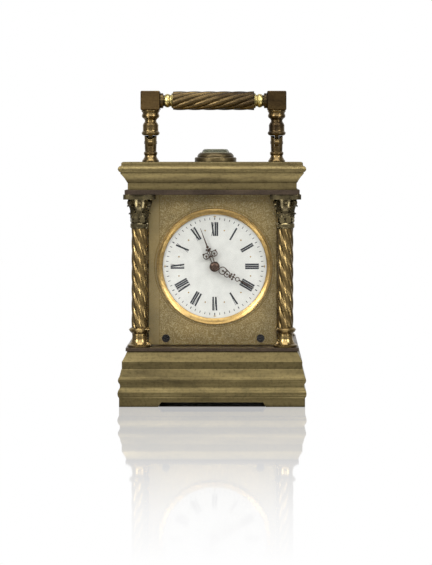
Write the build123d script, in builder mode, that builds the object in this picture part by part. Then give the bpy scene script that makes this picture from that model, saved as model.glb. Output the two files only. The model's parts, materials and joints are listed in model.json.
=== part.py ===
from build123d import *
from math import acos, atan2, cos, degrees, hypot, pi, radians, sin, tan
import os

os.makedirs("parts", exist_ok=True)

# Case, all sizes in millimetres, z from the ground, front toward -y
PLINTH_X = 50.1
DEPTH_LESS = 6.9
BASE_TOP = 29.6
FLOOR_TOP = 31.4
FLOOR_X = 46.8
CEILING_LOW = 114.3
CEILING_TOP = 116.8
CEILING_X = 47.3
ROOF_LOW = 128.6
ROOF_TOP = 132.0
FEET_GAP_X = 29.0
FEET_GAP_Z = 2.5
BASE_WELL_X = 43.6
CORNICE_WELL_X = 43.0
LUG = 11.0
LUG_HIGH = 3.0

# Columns
COLUMN_X = 39.6
COLUMN_Y = 32.7
SHAFT_LOW = 42.0
SHAFT_TOP = 95.9
SHAFT_R = 4.45
SHAFT_GROOVE_R = 3.9
SHAFT_STARTS = 6
SHAFT_LEAD = 50.6
ROD_R = 1.25
ROD_HOLE_R = 1.4
NUT_R = 2.9
NUT_HIGH = 2.4

# Glasses
GLASS_THICK = 2.2
GLASS_GAP = 0.3
GLASS_BEVEL = 3.0
GLASS_EDGE = 1.2
GROOVE_DEEP = 0.8

# Rear frame and door
DOOR_X = 29.7
DOOR_LOW = 34.6
DOOR_TOP = 110.6
DOOR_THICK = 3.0
DOOR_BACK = 33.2
DOOR_GAP = 0.35
DOOR_RAIL = 5.0
HINGE_R = 1.5
HINGE_PIN_R = 0.8
FIT = 0.06

# Carrying handle
POST_X = 35.4
PIVOT_Z = 142.8
GRIP_Z = 166.3
CUBE = 10.8
GRIP_R = 5.3
GRIP_GROOVE_R = 4.6
GRIP_HALF = 22.75
GRIP_STARTS = 8
GRIP_LEAD = 67.0
EAR_R = 3.85
LEG_START = 3.95
TONGUE_X = 1.2
TONGUE_R = 3.5
TONGUE_GAP = 0.15
NECK_Y = 1.9
NECK_GAP = 0.2
SLOT_X = 1.3
PIN_R = 0.75

# Porthole
HOLE_R = 9.2

# Dial group, centred a little right of the case middle
DIAL_X = 1.1
DIAL_Z = 74.7
DIAL_R = 29.9
DIAL_FACE_R = 28.45
MASK_FRONT = -25.9
MASK_THICK = 1.2
MASK_X = 35.0
MASK_LOW = 31.9
MASK_TOP = 113.9

# Movement plates
PLATE_THICK = 2.0
FRONT_Y = -20.5
BACK_Y = 17.5
PLATE_X = 31.0
PLATE_TOP = 101.0
PLATFORM_THICK = 1.8
PLATFORM_FRONT = -22.0
PLATFORM_BACK = 19.5

# Wheel train: arbor places as (x, z)
CENTRE = (DIAL_X, DIAL_Z)
BARREL = (-5.0, 52.4)
INTERMEDIATE = (11.27, 65.0)
THIRD = (9.97, 83.64)
CONTRATE = (2.0, 90.0)
MINUTE = (DIAL_X - 6.24, DIAL_Z)
SETTING = (DIAL_X - 13.0, DIAL_Z)
GREAT_M = 0.42
INTER_M = 0.36
CENTRE_M = 0.28
THIRD_M = 0.24
HAND_M = 0.26
HOUR_M = 0.2496
PRESSURE = radians(25)
WHEEL_TIP = 0.55
PINION_TIP = 0.75
WHEEL_ROOT = 1.15
PINION_ROOT = 1.0
WHEEL_SHARE = 0.44
PINION_SHARE = 0.40
ARBOR_R = 0.9
PIVOT_R = 0.5
PIVOT_HOLE_R = 0.56
END_GAP = 0.3

# Escapement on the platform, axes upright
ESCAPE = (2.0, 9.6)
LEVER = (2.0, 4.4)
BALANCE = (2.0, -3.0)
PLATFORM_TOP = PLATE_TOP + PLATFORM_THICK
ESCAPE_TEETH = 15
ESCAPE_R = 3.2
BALANCE_R = 7.2

made = []


def save(part, label):
    """Label one sub-part and write its step file."""
    part.label = label
    export_step(part, "parts/" + label + ".step")
    made.append(label)
    print(label, round(part.volume, 1), len(part.solids()), part.is_valid)


def facing(x, y, z):
    """Upright plane at y that looks to the front, local axes x and z."""
    return Plane(origin=(x, y, z), x_dir=(1, 0, 0), z_dir=(0, -1, 0))


def front_disc(place, back, front, radius, hole=0.0):
    """Round disc or tube along y from back to front."""
    with BuildPart() as disc:
        with BuildSketch(facing(place[0], back, place[1])):
            Circle(radius)
            if hole > 0:
                Circle(hole, mode=Mode.SUBTRACT)
        extrude(amount=back - front)
    return disc.part


def upright(place, low, top, radius, hole=0.0):
    """Round disc or tube along z from low to top."""
    with BuildPart() as disc:
        with BuildSketch(Plane.XY.offset(low)):
            with Locations(place):
                Circle(radius)
                if hole > 0:
                    Circle(hole, mode=Mode.SUBTRACT)
        extrude(amount=top - low)
    return disc.part


def block(x0, x1, y0, y1, z0, z1):
    """Plain box between the given faces."""
    with BuildPart() as box:
        with Locations(((x0 + x1) / 2, (y0 + y1) / 2, (z0 + z1) / 2)):
            Box(x1 - x0, y1 - y0, z1 - z0)
    return box.part


def turned(points, place=(0.0, 0.0)):
    """Part turned about an upright axis from (radius, z) points."""
    with BuildPart() as lathe:
        with BuildSketch(Plane(origin=(place[0], place[1], 0), x_dir=(1, 0, 0), z_dir=(0, -1, 0))):
            with BuildLine():
                Polyline(*points, close=True)
            make_face()
        revolve(axis=Axis((place[0], place[1], 0), (0, 0, 1)))
    return lathe.part


def moulding(steps, less):
    """Mitred moulding: steps are (half width, z) or (half width, z, mid width, mid z) for an arc."""

    def side(shrink, plane, reach):
        with BuildPart() as slab:
            with BuildSketch(plane):
                with BuildLine():
                    last = (steps[0][0] - shrink, steps[0][1])
                    Line((0, steps[0][1]), last)
                    for step in steps[1:]:
                        point = (step[0] - shrink, step[1])
                        if len(step) == 4:
                            ThreePointArc(last, (step[2] - shrink, step[3]), point)
                        else:
                            Line(last, point)
                        last = point
                    Line(last, (0, last[1]))
                    Line((0, last[1]), (0, steps[0][1]))
                make_face()
                mirror(about=Plane.YZ)
            extrude(amount=reach, both=True)
        return slab.part

    with BuildPart() as body:
        add(side(0.0, Plane.XZ, 80))
        add(side(less, Plane.YZ, 80), mode=Mode.INTERSECT)
    return body.part


def tooth_outline(teeth, module, tip, root, share, phase):
    """Gear outline with straight roots, flanks and tips."""
    pitch_r = teeth * module / 2
    base_r = pitch_r * cos(PRESSURE)
    flank_r = pitch_r - 0.25 * module if teeth > 20 else pitch_r

    def half(radius):
        roll = acos(base_r / max(radius, base_r * 1.0001))
        return share * pi / teeth + tan(PRESSURE) - PRESSURE - (tan(roll) - roll)

    rings = [(pitch_r - root * module, half(flank_r)), (flank_r, half(flank_r))]
    rings.append((pitch_r + tip * module, half(pitch_r + tip * module)))
    points = []
    for tooth in range(teeth):
        middle = phase + 2 * pi * tooth / teeth
        for radius, turn in rings:
            points.append((radius * cos(middle - turn), radius * sin(middle - turn)))
        for radius, turn in reversed(rings):
            points.append((radius * cos(middle + turn), radius * sin(middle + turn)))
    return points


def mesh_phase(driver, teeth, phase, driven, driven_teeth):
    """Phase that puts a gap of the driven gear opposite a tooth of the driver."""
    line = atan2(driven[1] - driver[1], driven[0] - driver[0])
    part_pitch = ((line - phase) * teeth / (2 * pi)) % 1
    return line + pi + (part_pitch + 0.5) * 2 * pi / driven_teeth


def wheel(place, back, front, teeth, module, phase=0.0, spokes=5, rim=1.3, hub=2.4, hole=0.0):
    """Toothed wheel with crossings."""
    inner = teeth * module / 2 - WHEEL_ROOT * module - rim
    with BuildPart() as gear:
        with BuildSketch(facing(place[0], back, place[1])):
            with BuildLine():
                Polyline(*tooth_outline(teeth, module, WHEEL_TIP, WHEEL_ROOT, WHEEL_SHARE, phase), close=True)
            make_face()
            if hole > 0:
                Circle(hole, mode=Mode.SUBTRACT)
        extrude(amount=back - front)
        if spokes:
            with BuildSketch(facing(place[0], back, place[1])):
                Circle(inner)
                Circle(hub, mode=Mode.SUBTRACT)
                for arm in range(spokes):
                    with Locations(Rotation(0, 0, 360 * arm / spokes)):
                        with Locations((inner / 2, 0)):
                            Rectangle(inner * 1.2, 1.1, mode=Mode.SUBTRACT)
            extrude(amount=back - front, mode=Mode.SUBTRACT)
    return gear.part


def pinion(place, back, front, teeth, module, phase=0.0, hole=0.0):
    """Small solid pinion."""
    with BuildPart() as gear:
        with BuildSketch(facing(place[0], back, place[1])):
            with BuildLine():
                Polyline(*tooth_outline(teeth, module, PINION_TIP, PINION_ROOT, PINION_SHARE, phase), close=True)
            make_face()
            if hole > 0:
                Circle(hole, mode=Mode.SUBTRACT)
        extrude(amount=back - front)
    return gear.part


def join(*pieces):
    """One part from touching pieces."""
    with BuildPart() as whole:
        for piece in pieces:
            add(piece)
    return whole.part


def cut(body, *tools):
    """Body less the tools."""
    with BuildPart() as left:
        add(body)
        for tool in tools:
            add(tool, mode=Mode.SUBTRACT)
    return left.part


def slotted_screw(place, back, front, radius, head_y, head_r, slot=0.6):
    """Screw along y with a slotted head whose front face is at head_y."""
    with BuildPart() as screw:
        with BuildSketch(facing(place[0], back, place[1])):
            Circle(radius)
        extrude(amount=back - front)
        with BuildSketch(facing(place[0], front, place[1])):
            Circle(head_r)
        extrude(amount=front - head_y)
        with BuildSketch(facing(place[0], head_y, place[1])):
            Rectangle(head_r * 2.2, slot, rotation=20)
        extrude(amount=-0.5, mode=Mode.SUBTRACT)
    return screw.part


corners = [(sx * COLUMN_X, sy * COLUMN_Y) for sx in (-1, 1) for sy in (-1, 1)]


# Base moulding, hollow below, with the gap between the feet
base_steps = [
    (PLINTH_X, 0.0), (PLINTH_X, 4.8), (49.9, 9.7, 50.9, 7.1), (49.9, 12.4, 49.65, 11.1),
    (49.95, 16.1, 50.65, 14.2), (49.0, 19.9, 49.4, 18.2), (48.7, 20.2), (48.7, 24.2),
    (46.0, BASE_TOP, 47.2, 26.9),
]
with BuildPart() as base_moulding:
    add(moulding(base_steps, DEPTH_LESS))
    add(block(-BASE_WELL_X, BASE_WELL_X, -BASE_WELL_X + DEPTH_LESS, BASE_WELL_X - DEPTH_LESS, 0, BASE_TOP),
        mode=Mode.SUBTRACT)
    for sx, sy in [(-1, -1), (-1, 1), (1, -1), (1, 1)]:
        with Locations((sx * (BASE_WELL_X - LUG / 2 + 0.5), sy * (BASE_WELL_X - DEPTH_LESS - LUG / 2 + 0.5),
                        BASE_TOP - LUG_HIGH / 2)):
            Box(LUG + 1, LUG + 1, LUG_HIGH)
    with BuildSketch(Plane.XY.offset(BASE_TOP)):
        with Locations(*corners):
            Circle(ROD_HOLE_R)
    extrude(amount=-LUG_HIGH, mode=Mode.SUBTRACT)
    for plane, reach in [(Plane.XZ, FEET_GAP_X), (Plane.YZ, FEET_GAP_X - DEPTH_LESS)]:
        with BuildSketch(plane):
            with BuildLine():
                Polyline((-reach, 0), (-reach + 1.5, FEET_GAP_Z), (reach - 1.5, FEET_GAP_Z), (reach, 0), close=True)
            make_face()
        extrude(amount=80, both=True, mode=Mode.SUBTRACT)
save(base_moulding.part, "base_moulding")

# Bottom plate with a shallow groove for each glass
GLASS_Y = COLUMN_Y
GLASS_HALF_X = COLUMN_X - SHAFT_R - GLASS_GAP
GLASS_HALF_Y = COLUMN_Y - SHAFT_R - GLASS_GAP
groove = GLASS_THICK / 2 + 0.05


def glass_slots(low, top, back=False):
    """Boxes that clear the three glasses, and the rear frame when asked."""
    slots = [block(-GLASS_HALF_X - 0.05, GLASS_HALF_X + 0.05, -GLASS_Y - groove, -GLASS_Y + groove, low, top)]
    for sx in (-1, 1):
        slots.append(block(sx * COLUMN_X - groove, sx * COLUMN_X + groove,
                           -GLASS_HALF_Y - 0.05, GLASS_HALF_Y + 0.05, low, top))
    if back:
        slots.append(block(-FRAME_X - 0.05, FRAME_X + 0.05, FRAME_FRONT - 0.05, FRAME_BACK + 0.05, low, top))
    return slots


FRAME_X = 34.9
FRAME_FRONT = 30.9
FRAME_BACK = 33.9

with BuildPart() as bottom_plate:
    with BuildSketch(Plane.XY.offset(BASE_TOP)):
        Rectangle(2 * FLOOR_X, 2 * (FLOOR_X - DEPTH_LESS))
        with Locations(*corners):
            Circle(ROD_HOLE_R, mode=Mode.SUBTRACT)
        with Locations((DIAL_X - 20, -14), (DIAL_X + 20, -14), (DIAL_X - 20, 13), (DIAL_X + 20, 13)):
            Circle(1.1, mode=Mode.SUBTRACT)
    extrude(amount=FLOOR_TOP - BASE_TOP)
    for slot in glass_slots(FLOOR_TOP - GROOVE_DEEP, FLOOR_TOP + 1):
        add(slot, mode=Mode.SUBTRACT)
    chamfer(bottom_plate.edges().filter_by(Axis.Z).group_by(Axis.X)[0], 0.4)
save(bottom_plate.part, "bottom_plate")

# Top plate, open over the movement
with BuildPart() as top_plate:
    with BuildSketch(Plane.XY.offset(CEILING_LOW)):
        Rectangle(2 * CEILING_X, 2 * (CEILING_X - DEPTH_LESS))
        Rectangle(62, 50, mode=Mode.SUBTRACT)
        with Locations(*corners):
            Circle(ROD_HOLE_R, mode=Mode.SUBTRACT)
    extrude(amount=CEILING_TOP - CEILING_LOW)
    for slot in glass_slots(CEILING_LOW - 1, CEILING_LOW + GROOVE_DEEP):
        add(slot, mode=Mode.SUBTRACT)
save(top_plate.part, "top_plate")

# Cornice with a flat roof, open below
cornice_steps = [
    (45.7, CEILING_TOP), (45.7, 120.6), (46.0, 120.8), (49.4, 125.6, 47.25, 123.0), (49.4, 126.4),
    (49.4, 129.8, 50.7, 128.1), (49.0, 130.1), (49.0, 131.4), (48.2, ROOF_TOP),
]
with BuildPart() as cornice:
    add(moulding(cornice_steps, DEPTH_LESS))
    add(block(-CORNICE_WELL_X, CORNICE_WELL_X, -CORNICE_WELL_X + DEPTH_LESS, CORNICE_WELL_X - DEPTH_LESS,
              CEILING_TOP, ROOF_LOW), mode=Mode.SUBTRACT)
    for sx, sy in [(-1, -1), (-1, 1), (1, -1), (1, 1)]:
        with Locations((sx * (CORNICE_WELL_X - LUG / 2 + 0.5), sy * (CORNICE_WELL_X - DEPTH_LESS - LUG / 2 + 0.5),
                        CEILING_TOP + LUG_HIGH / 2)):
            Box(LUG + 1, LUG + 1, LUG_HIGH)
    with BuildSketch(Plane.XY.offset(CEILING_TOP)):
        with Locations(*corners):
            Circle(ROD_HOLE_R)
    extrude(amount=LUG_HIGH, mode=Mode.SUBTRACT)
    with BuildSketch(Plane.XY.offset(ROOF_TOP)):
        with Locations((DIAL_X, 0)):
            Circle(HOLE_R)
        with Locations((-POST_X, 0), (POST_X, 0)):
            Circle(1.6)
    extrude(amount=ROOF_LOW - ROOF_TOP, mode=Mode.SUBTRACT)
save(cornice.part, "cornice")

# Four twisted column shafts
with BuildSketch() as shaft_section:
    with BuildLine():
        for start in range(SHAFT_STARTS):
            turn = 360 / SHAFT_STARTS
            first = Vector(SHAFT_GROOVE_R, 0).rotate(Axis.Z, start * turn)
            crest = Vector(SHAFT_R, 0).rotate(Axis.Z, (start + 0.5) * turn)
            final = Vector(SHAFT_GROOVE_R, 0).rotate(Axis.Z, (start + 1) * turn)
            ThreePointArc(first, crest, final)
    make_face()
    Circle(ROD_HOLE_R, mode=Mode.SUBTRACT)
for number, (cx, cy) in enumerate(corners, 1):
    with BuildPart() as column_shaft:
        add(Solid.extrude_linear_with_rotation(
            Pos(cx, cy, SHAFT_LOW) * shaft_section.sketch.faces()[0], (cx, cy, SHAFT_LOW),
            (0, 0, SHAFT_TOP - SHAFT_LOW), -360 * (SHAFT_TOP - SHAFT_LOW) / SHAFT_LEAD))
    save(column_shaft.part, "column_shaft_" + str(number))

# Turned column bases
base_profile = [
    (ROD_HOLE_R, FLOOR_TOP), (6.6, FLOOR_TOP), (6.6, 32.6), (5.5, 33.1), (4.7, 34.2), (4.2, 35.7), (4.0, 37.4),
    (4.2, 38.8), (5.2, 39.7), (5.9, 40.9), (5.2, 41.6), (4.6, SHAFT_LOW), (ROD_HOLE_R, SHAFT_LOW),
]
with BuildPart() as column_bases:
    for cx, cy in corners:
        add(turned([(radius, height) for radius, height in base_profile], (cx, cy)))
    for slot in glass_slots(FLOOR_TOP, SHAFT_LOW + 1, back=True):
        add(slot, mode=Mode.SUBTRACT)
save(column_bases.part, "column_bases")

# Capitals: bell, leaves, volutes and a hollow-sided abacus
ABACUS_LOW = 111.6
bell_profile = [
    (ROD_HOLE_R, SHAFT_TOP), (4.7, SHAFT_TOP), (5.1, 96.6), (5.1, 98.2), (4.6, 98.9), (4.3, 99.2), (4.4, 103.0),
    (4.9, 107.0), (5.9, 110.2), (6.6, ABACUS_LOW), (ROD_HOLE_R, ABACUS_LOW),
]


def leaf(low, tall, foot, reach, wide, turn):
    """One curling acanthus leaf."""
    stand = Plane(origin=(0, 0, 0), x_dir=(1, 0, 0), z_dir=(0, -1, 0))
    look = Plane(origin=(12, 0, 0), x_dir=(0, 1, 0), z_dir=(1, 0, 0))
    with BuildPart() as blade:
        with BuildSketch(stand):
            with BuildLine():
                Polyline((foot - 1.2, low), (foot + 0.5, low), (foot + 0.6, low + tall * 0.55),
                         (foot + reach * 0.55, low + tall * 0.86), (foot + reach, low + tall * 0.80),
                         (foot + reach * 1.05, low + tall * 0.92), (foot + reach * 0.6, low + tall),
                         (foot - 0.2, low + tall * 0.9), close=True)
            make_face()
        extrude(amount=wide, both=True)
        with BuildSketch(look):
            with BuildLine():
                right = [(wide * 0.30, low), (wide * 0.50, low + tall * 0.22), (wide * 0.34, low + tall * 0.34),
                         (wide * 0.52, low + tall * 0.50), (wide * 0.32, low + tall * 0.62),
                         (wide * 0.42, low + tall * 0.78), (wide * 0.16, low + tall)]
                Polyline(*(right + [(-x, z) for x, z in reversed(right)]), close=True)
            make_face()
        extrude(amount=-12, mode=Mode.INTERSECT)
    return blade.part.rotate(Axis.Z, turn)


with BuildPart() as capital:
    add(turned(bell_profile))
    for step in range(8):
        add(leaf(99.0, 5.6, 4.3, 1.6, 3.4, 45 * step + 22.5))
    for step in range(8):
        add(leaf(101.5, 7.4, 4.5, 2.2, 3.4, 45 * step))
    for step in range(4):
        with BuildSketch(Plane.XZ) as volute:
            with Locations((6.4, 109.9)):
                Circle(1.75)
        volute_disc = extrude(amount=1.0, both=True, mode=Mode.PRIVATE)
        with BuildSketch(Plane.XZ) as eye:
            with Locations((6.4, 109.9)):
                Circle(0.6)
        eye_disc = extrude(amount=1.3, both=True, mode=Mode.PRIVATE)
        add(volute_disc.rotate(Axis.Z, 45 + 90 * step))
        add(eye_disc.rotate(Axis.Z, 45 + 90 * step))
    with BuildSketch(Plane.XY.offset(ABACUS_LOW)):
        with BuildLine():
            square = 8.5
            for step in range(4):
                a = Vector(square, -square + 1.6).rotate(Axis.Z, 90 * step)
                b = Vector(6.6, 0).rotate(Axis.Z, 90 * step)
                c = Vector(square, square - 1.6).rotate(Axis.Z, 90 * step)
                d = Vector(square - 1.6, square).rotate(Axis.Z, 90 * step)
                ThreePointArc(a, b, c)
                Line(c, d)
        make_face()
    extrude(amount=CEILING_LOW - ABACUS_LOW)
    with BuildSketch(Plane.XY.offset(SHAFT_TOP)):
        Circle(ROD_HOLE_R)
    extrude(amount=CEILING_LOW - SHAFT_TOP, mode=Mode.SUBTRACT)
with BuildPart() as column_capitals:
    for cx, cy in corners:
        mask_slot = block(-MASK_X - 0.2, MASK_X + 0.2, MASK_FRONT - 0.2, MASK_FRONT + MASK_THICK + 3,
                          SHAFT_TOP, CEILING_LOW)
        pieces = cut(Pos(cx, cy, 0) * capital.part, mask_slot,
                     *glass_slots(SHAFT_TOP - 1, CEILING_LOW, back=True))
        add(max(pieces.solids(), key=lambda solid: solid.volume))
save(column_capitals.part, "column_capitals")

# Case rods run from the base lugs to the cornice lugs, a hex nut on each end
with BuildPart() as case_rods:
    for cx, cy in corners:
        low = BASE_TOP - LUG_HIGH
        top = CEILING_TOP + LUG_HIGH
        add(upright((cx, cy), low - NUT_HIGH - 0.8, top + NUT_HIGH + 0.8, ROD_R))
        for start, end in [(low - NUT_HIGH, low), (top, top + NUT_HIGH)]:
            with BuildSketch(Plane.XY.offset(start)):
                with Locations((cx, cy)):
                    RegularPolygon(NUT_R, 6)
            extrude(amount=end - start)
save(case_rods.part, "case_rods")


def pane(half_x, low, top, thick):
    """Glass about the XZ plane, bevelled on its front face."""
    with BuildPart() as sheet:
        with BuildSketch(facing(0, thick / 2, (low + top) / 2)):
            Rectangle(2 * half_x, top - low)
        extrude(amount=GLASS_EDGE)
        with BuildSketch(facing(0, thick / 2 - GLASS_EDGE, (low + top) / 2)):
            Rectangle(2 * half_x, top - low)
        with BuildSketch(facing(0, -thick / 2, (low + top) / 2)):
            Rectangle(2 * (half_x - GLASS_BEVEL), top - low - 2 * GLASS_BEVEL)
        loft(ruled=True)
    return sheet.part


GLASS_LOW = FLOOR_TOP - GROOVE_DEEP + 0.05
GLASS_TOP = CEILING_LOW + GROOVE_DEEP - 0.05
save(Pos(0, -GLASS_Y, 0) * pane(GLASS_HALF_X, GLASS_LOW, GLASS_TOP, GLASS_THICK), "front_glass")
side_pane = pane(GLASS_HALF_Y, GLASS_LOW, GLASS_TOP, GLASS_THICK)
save(Pos(-COLUMN_X, 0, 0) * side_pane.rotate(Axis.Z, -90), "left_glass")
save(Pos(COLUMN_X, 0, 0) * side_pane.rotate(Axis.Z, 90), "right_glass")

# Rear frame with hinge holes in its sill and head
FRAME_IN = DOOR_X + DOOR_GAP
HINGE_X = -DOOR_X + HINGE_R
HINGE_Y = DOOR_BACK - DOOR_THICK / 2
STOP_Y = DOOR_BACK - DOOR_THICK - 0.3
with BuildPart() as rear_frame:
    with BuildSketch(facing(0, FRAME_BACK, (FLOOR_TOP + CEILING_LOW) / 2)):
        Rectangle(2 * FRAME_X, CEILING_LOW - FLOOR_TOP)
        with Locations((0, (DOOR_LOW + DOOR_TOP) / 2 - (FLOOR_TOP + CEILING_LOW) / 2)):
            Rectangle(2 * FRAME_IN, DOOR_TOP - DOOR_LOW + 2 * DOOR_GAP, mode=Mode.SUBTRACT)
    extrude(amount=FRAME_BACK - FRAME_FRONT)
    for low, top in [(DOOR_LOW - 2.4, DOOR_LOW), (DOOR_TOP, DOOR_TOP + 2.4)]:
        add(upright((HINGE_X, HINGE_Y), low, top, HINGE_PIN_R + FIT), mode=Mode.SUBTRACT)
    for edge, lip, root in [(DOOR_TOP + DOOR_GAP, DOOR_TOP - 1.0, DOOR_TOP + 2.0),
                            (DOOR_LOW - DOOR_GAP, DOOR_LOW + 1.0, DOOR_LOW - 2.0)]:
        add(block(DOOR_X - 7, DOOR_X - 1, STOP_Y - 1.2, FRAME_FRONT, min(edge, root), max(edge, root)))
        add(block(DOOR_X - 7, DOOR_X - 1, STOP_Y - 1.2, STOP_Y, min(lip, root), max(lip, root)))
save(rear_frame.part, "rear_frame")

# Rear door: frame with round hinge stile, pins, bevelled glass and knob
door_y0 = DOOR_BACK - DOOR_THICK
with BuildPart() as door_frame:
    add(block(HINGE_X, DOOR_X, door_y0, DOOR_BACK, DOOR_LOW, DOOR_TOP))
    add(upright((HINGE_X, HINGE_Y), DOOR_LOW, DOOR_TOP, HINGE_R))
    add(block(-DOOR_X + DOOR_RAIL, DOOR_X - DOOR_RAIL, door_y0 - 1, DOOR_BACK + 1,
              DOOR_LOW + DOOR_RAIL, DOOR_TOP - DOOR_RAIL), mode=Mode.SUBTRACT)
    add(block(-DOOR_X + DOOR_RAIL - 1.2, DOOR_X - DOOR_RAIL + 1.2, door_y0, door_y0 + 1.9,
              DOOR_LOW + DOOR_RAIL - 1.2, DOOR_TOP - DOOR_RAIL + 1.2), mode=Mode.SUBTRACT)
    add(upright((HINGE_X, HINGE_Y), DOOR_LOW - 2.0, DOOR_LOW + 1.0, HINGE_PIN_R))
    add(upright((HINGE_X, HINGE_Y), DOOR_TOP - 1.0, DOOR_TOP + 2.0, HINGE_PIN_R))
    add(front_disc((DOOR_X - 2.5, 72.6), DOOR_BACK + 1, door_y0 - 1, 0.8), mode=Mode.SUBTRACT)
save(door_frame.part, "door_frame")
with BuildPart() as door_glass:
    add(block(-DOOR_X + DOOR_RAIL - 1.1, DOOR_X - DOOR_RAIL + 1.1, door_y0 + 0.1, door_y0 + 1.9,
              DOOR_LOW + DOOR_RAIL - 1.1, DOOR_TOP - DOOR_RAIL + 1.1))
save(door_glass.part, "door_glass")
with BuildPart() as door_knob:
    knob_points = [(0, 0), (0.75, 0), (0.75, 3.0), (1.4, 3.0), (1.4, 3.6), (0.9, 4.2), (1.0, 5.0), (1.9, 5.8),
                   (2.2, 6.9), (1.8, 7.9), (0.9, 8.5), (0, 8.6)]
    add(Pos(DOOR_X - 2.5, door_y0, 72.6) * turned(knob_points).rotate(Axis.X, -90))
save(door_knob.part, "door_knob")

# Porthole bezel and its thick bevelled glass
bezel_points = [(6.9, 128.2), (9.1, 128.2), (9.1, 132.0), (11.7, 132.0), (11.7, 134.1), (11.3, 134.5),
                (10.2, 134.6), (10.2, 135.4), (9.6, 136.4), (8.6, 137.2), (7.9, 137.2), (7.9, 133.4), (6.9, 133.4)]
save(turned(bezel_points, (DIAL_X, 0)), "porthole_bezel")
lens_points = [(0, 133.4), (7.8, 133.4), (7.8, 137.4), (7.3, 138.4), (6.6, 139.1), (0, 139.1)]
save(turned(lens_points, (DIAL_X, 0)), "porthole_glass")

# Handle posts with slotted tops and a nut under the roof
post_points = [(0, 125.2), (1.5, 125.2), (1.5, ROOF_TOP), (4.75, ROOF_TOP), (4.75, 132.7), (4.2, 133.4),
               (3.5, 134.6), (3.3, 135.5), (3.8, 136.4), (3.8, 137.3), (3.2, 137.8), (3.3, 140.0), (3.5, 146.65),
               (0, 146.65)]
with BuildPart() as handle_posts:
    for sx in (-1, 1):
        with BuildPart(mode=Mode.PRIVATE) as post:
            add(turned(post_points, (sx * POST_X, 0)))
            add(block(sx * POST_X - SLOT_X, sx * POST_X + SLOT_X, -8, 8, PIVOT_Z - NECK_Y - NECK_GAP, 148),
                mode=Mode.SUBTRACT)
            with BuildSketch(Plane.YZ.offset(sx * POST_X)):
                with Locations((0, PIVOT_Z)):
                    Circle(TONGUE_R + TONGUE_GAP)
            extrude(amount=SLOT_X, both=True, mode=Mode.SUBTRACT)
            with BuildSketch(Plane.YZ.offset(sx * POST_X)):
                with Locations((0, PIVOT_Z)):
                    Circle(EAR_R)
                with Locations((0, PIVOT_Z - 14)):
                    Rectangle(12, 28)
            extrude(amount=8, both=True, mode=Mode.INTERSECT)
            with BuildSketch(Plane.YZ.offset(sx * POST_X)):
                with Locations((0, PIVOT_Z)):
                    Circle(PIN_R + FIT)
            extrude(amount=8, both=True, mode=Mode.SUBTRACT)
        add(post.part)
save(handle_posts.part, "handle_posts")
with BuildPart() as handle_post_nuts:
    for sx in (-1, 1):
        with BuildSketch(Plane.XY.offset(ROOF_LOW - 2.2)):
            with Locations((sx * POST_X, 0)):
                RegularPolygon(3.6, 6)
                Circle(1.55, mode=Mode.SUBTRACT)
        extrude(amount=2.2)
save(handle_post_nuts.part, "handle_post_nuts")
with BuildPart() as handle_pins:
    for sx in (-1, 1):
        with BuildSketch(Plane.YZ.offset(sx * POST_X - 3.6)):
            with Locations((0, PIVOT_Z)):
                Circle(PIN_R)
        extrude(amount=7.2)
save(handle_pins.part, "handle_pins")

# Handle legs with tongues, corner cubes and the twisted grip
CUBE_LOW = GRIP_Z - CUBE / 2
STUB = 3.5
leg_points = [(0, PIVOT_Z + LEG_START), (3.9, PIVOT_Z + LEG_START), (4.6, 147.1), (5.05, 147.8), (5.05, 148.5),
              (4.5, 149.1), (4.35, 149.6), (4.35, 151.3), (4.4, 152.6), (3.9, 153.7), (3.3, 154.5), (3.25, 155.3),
              (3.7, 156.1), (4.6, 156.8), (4.95, 157.6), (4.8, 158.4), (4.5, 159.1), (4.6, 159.7), (5.1, 160.3),
              (5.1, CUBE_LOW), (2.0, CUBE_LOW), (2.0, CUBE_LOW + STUB), (0, CUBE_LOW + STUB)]
with BuildPart() as handle_legs:
    for sx in (-1, 1):
        with BuildPart(mode=Mode.PRIVATE) as leg:
            add(turned(leg_points, (sx * POST_X, 0)))
            with BuildSketch(Plane.YZ.offset(sx * POST_X)):
                with Locations((0, PIVOT_Z)):
                    Circle(TONGUE_R)
                with Locations((0, PIVOT_Z + 2.5)):
                    Rectangle(2 * NECK_Y, 5.0)
            extrude(amount=TONGUE_X, both=True)
            with BuildSketch(Plane.YZ.offset(sx * POST_X)):
                with Locations((0, PIVOT_Z)):
                    Circle(PIN_R + FIT)
            extrude(amount=2, both=True, mode=Mode.SUBTRACT)
        add(leg.part)
save(handle_legs.part, "handle_legs")
with BuildPart() as handle_corners:
    for sx in (-1, 1):
        with BuildPart(mode=Mode.PRIVATE) as corner:
            with Locations((sx * POST_X, 0, GRIP_Z)):
                Box(CUBE, CUBE, CUBE)
            chamfer(corner.edges(), 0.5)
            add(upright((sx * POST_X, 0), CUBE_LOW - 1, CUBE_LOW + STUB, 2.0), mode=Mode.SUBTRACT)
            with BuildSketch(Plane.YZ.offset(sx * POST_X)):
                with Locations((0, GRIP_Z)):
                    Circle(1.6)
            extrude(amount=-sx * 8, mode=Mode.SUBTRACT)
        add(corner.part)
save(handle_corners.part, "handle_corners")
with BuildSketch(Plane.YZ.offset(-GRIP_HALF)) as grip_section:
    with BuildLine():
        for start in range(GRIP_STARTS):
            turn = 360 / GRIP_STARTS
            first = Vector(GRIP_GROOVE_R, 0).rotate(Axis.Z, start * turn)
            crest = Vector(GRIP_R, 0).rotate(Axis.Z, (start + 0.5) * turn)
            final = Vector(GRIP_GROOVE_R, 0).rotate(Axis.Z, (start + 1) * turn)
            ThreePointArc(first, crest, final)
    make_face()
GRIP_INNER = POST_X - CUBE / 2
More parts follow.
